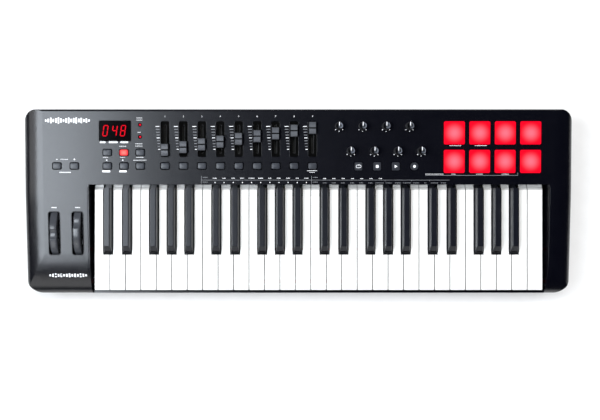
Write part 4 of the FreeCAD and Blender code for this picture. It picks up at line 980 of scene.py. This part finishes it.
def key_strip_marks(shape):
    """Labels of the second tasks of the keys: a row over a long line, and a row under it."""
    line_y, pitch = 31.4, 13.6
    stroke(shape, (-144.3, line_y), (225.0, line_y), 0.5, 1)
    for x in (-144.3, 19.7):
        stroke(shape, (x, 25.8), (x, 37.7), 0.5, 1)
        for y in (35.4, 28.4):
            print_line(shape, (x + 2.2, x + 9.2), y, 1.2, 1)
    for i, width in enumerate((6.4, 4.6, 5.0, 6.6, 8.6, 7.4, 4.6, 6.4, 5.4, 4.6, 5.6)):
        x = -124.0 + i * pitch
        print_line(shape, (x - width / 2, x + width / 2), 34.2, 1.1)
        mark(shape, (x - 0.7, x + 0.7), (27.1, 28.5), 0.4)
    for i in range(7):
        x = 39.3 + 13.8 * i
        print_line(shape, (x - 2.3, x + 2.3), 33.6, 1.1)
    widths = (6.4, 6.4, 6.4, 6.4, 6.4, 6.4, 12.5, 9.4, 9.0, 12.0, 9.0, 3.5, 11.3, 8.0)
    for i, width in enumerate(widths):
        x = 39.6 + pitch * i
        print_line(shape, (x - width / 2, x + width / 2), 27.2, 1.1, 1)
    for x in (129.5, 168.4, 195.3):
        stroke(shape, (x, line_y), (x, line_y - 1.6), 0.5, 1)


def panel_marks():
    """All print on the control panel."""
    shape = Shape(panel)
    for draw in (octave_marks, edit_marks, fader_marks, knob_marks, pad_marks, key_strip_marks):
        draw(shape)
    heights = [0.35, 0.6, 0.9, 0.5, 0.75, 1.0, 0.65, 0.4, 0.7]
    heights += [0.95, 0.55, 0.8, 1.0, 0.6, 0.85, 0.45, 0.7, 0.35]
    level_bars(shape, (-343.0, 119.8), (68.0, 9.0), heights)
    piece("panel_print", shape, [finishes["white_ink"], finishes["dim_ink"]], "root")


def cheek_marks():
    """Print on the sloping side block: two labels over the wheels, and a small ornament on the nose."""
    flat = Shape(cheek)
    for x in ((-367.9, -359.7), (-332.8, -324.6)):
        print_line(flat, x, -9.4, 1.6)
    piece("wheel_labels", flat, [finishes["white_ink"]], "root")
    nose = Shape(on_case)
    heights = [0.5, 0.8, 1.0, 0.7, 0.9, 0.55, 0.8, 1.0, 0.65, 0.9, 0.7, 1.0, 0.8, 0.5]
    level_bars(nose, (-346.2, -111.4), (58.0, 6.0), heights)
    piece("nose_print", nose, [finishes["white_ink"]], "root")


# ================================================================ stage, lights and camera
def floor_white():
    """Backlit acrylic: it is white wherever the object doesn't shade it."""
    shades = ((0.39, 0.39, 0.39), (0.41, 0.41, 0.41))
    glow = {"Emission_Color": (1.0, 1.0, 1.0, 1.0), "Emission_Strength": 0.36}
    return plastic("floor_white", shades, (0.7, 0.8), 8.0, 0.01, Specular_IOR_Level=0.1, **glow)


def floor():
    """A floor far wider than the picture."""
    reach = 6
    mesh = bpy.data.meshes.new("floor")
    corners = [(-reach, -reach, 0), (reach, -reach, 0), (reach, reach, 0), (-reach, reach, 0)]
    mesh.from_pydata(corners, [], [(0, 1, 2, 3)])
    mesh.materials.append(floor_white())
    obj = bpy.data.objects.new("floor", mesh)
    bpy.context.scene.collection.objects.link(obj)


def softbox(name, place, size, watts, mirrored=True, colour=(1.0, 1.0, 1.0)):
    """A rectangular light that looks at the object.

    One that isn't mirrored leaves no highlight, and only brightens the colour of what it reaches.
    """
    data = bpy.data.lights.new(name, "AREA")
    data.shape = "RECTANGLE"
    data.size, data.size_y = size
    data.energy = watts
    data.color = colour
    obj = bpy.data.objects.new(name, data)
    obj.location = place
    obj.rotation_euler = (-Vector(place)).to_track_quat("-Z", "Y").to_euler()
    obj.visible_camera = False
    obj.visible_glossy = mirrored
    bpy.context.scene.collection.objects.link(obj)
    return obj


def studio():
    """A large soft source over the player's left, which the left of the panel mirrors, and soft fills."""
    main = softbox("main", (-1.365, -0.12, 2.4), (1.17, 1.64), 74, colour=(0.85, 0.92, 1.0))
    main.rotation_euler = (0, 0, 0)
    softbox("left_edge", (-2.7, 0.2, 2.1), (1.2, 2.2), 18)
    softbox("front_left", (-1.0, -1.9, 1.3), (1.1, 1.3), 9)
    softbox("left_fill", (-1.6, 0.5, 2.4), (0.6, 0.6), 20, mirrored=False)
    softbox("top_fill", (0.2, 0.6, 2.6), (2.6, 1.4), 40, mirrored=False)
    softbox("back_fill", (0.0, 1.0, 2.7), (1.2, 0.4), 40, mirrored=False)
    softbox("right_fill", (2.0, 0.6, 2.0), (1.6, 2.0), 40, mirrored=False)
    world = bpy.data.worlds.new("studio")
    world.use_nodes = True
    background = world.node_tree.nodes["Background"]
    background.inputs["Color"].default_value = (0.95, 0.97, 1.0, 1.0)
    background.inputs["Strength"].default_value = 0.02
    world.cycles_visibility.glossy = False
    bpy.context.scene.world = world


def camera():
    """A camera that looks straight down."""
    data = bpy.data.cameras.new("camera")
    data.lens = 57.4
    data.sensor_width = 36.0
    obj = bpy.data.objects.new("camera", data)
    obj.location = (0.0025, -0.0131, 1.5)
    bpy.context.scene.collection.objects.link(obj)
    bpy.context.scene.camera = obj
    bpy.context.scene.view_settings.view_transform = "Standard"


# ================================================================ the whole object
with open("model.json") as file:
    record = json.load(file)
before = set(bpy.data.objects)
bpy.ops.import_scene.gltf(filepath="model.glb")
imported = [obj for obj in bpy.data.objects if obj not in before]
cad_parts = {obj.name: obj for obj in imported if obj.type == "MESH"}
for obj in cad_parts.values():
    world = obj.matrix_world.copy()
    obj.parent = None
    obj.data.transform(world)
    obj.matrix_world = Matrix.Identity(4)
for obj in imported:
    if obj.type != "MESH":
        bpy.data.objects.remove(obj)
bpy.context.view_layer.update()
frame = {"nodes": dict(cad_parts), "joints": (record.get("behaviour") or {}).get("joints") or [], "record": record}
panel = Plane(pivot("knob_1"), Vector(joint_of("fader_1")["axis"]))
case_mesh = frame["nodes"]["top_housing"].data
case_tree = BVHTree.FromPolygons([v.co for v in case_mesh.vertices], [p.vertices for p in case_mesh.polygons])


def on_case(x, y, w=0.0):
    """A point at height w over the top of the case."""
    hit, normal, _, _ = case_tree.ray_cast(Vector((x * MM, y * MM, 1.0)), Vector((0, 0, -1)))
    return hit + normal * (w * MM)


cheek_front, cheek_back = [on_case(BETWEEN_WHEELS_X, y) for y in CHEEK_Y]
cheek = Plane(cheek_front, cheek_back - cheek_front)

fader_columns = [middles(f"fader_{number}", panel)[0][0] for number in range(1, 10)]
fader_y = (middles("fader_1", panel)[0][1] + middles("fader_9", panel)[0][1]) / 2
display_middle = middles("display_window", panel)[0]

finishes = {name: make() for name, make in CARRIED.items()}
for make in (knob_top, white_ink, dim_ink, unlit_black, button_lit, segment_red):
    finishes[make.__name__] = make()

dress_cad()
for node in ("octave_buttons", "edit_buttons", "fader_buttons"):
    buttons(node)
transport_buttons()
for number in range(1, 10):
    fader_cap(number)
for number in range(1, 9):
    knob_cap(number)
drum_pads()
wheel("pitch_wheel", PITCH_NOTCH_ANGLE, PITCH_SHAFT_X)
wheel("mod_wheel", MOD_NOTCH_ANGLE, MOD_SHAFT_X)
panel_rims()
recess_floors()
opening_rails()
wheel_slot_rims()
display_digits()
panel_marks()
cheek_marks()
floor()
studio()
camera()
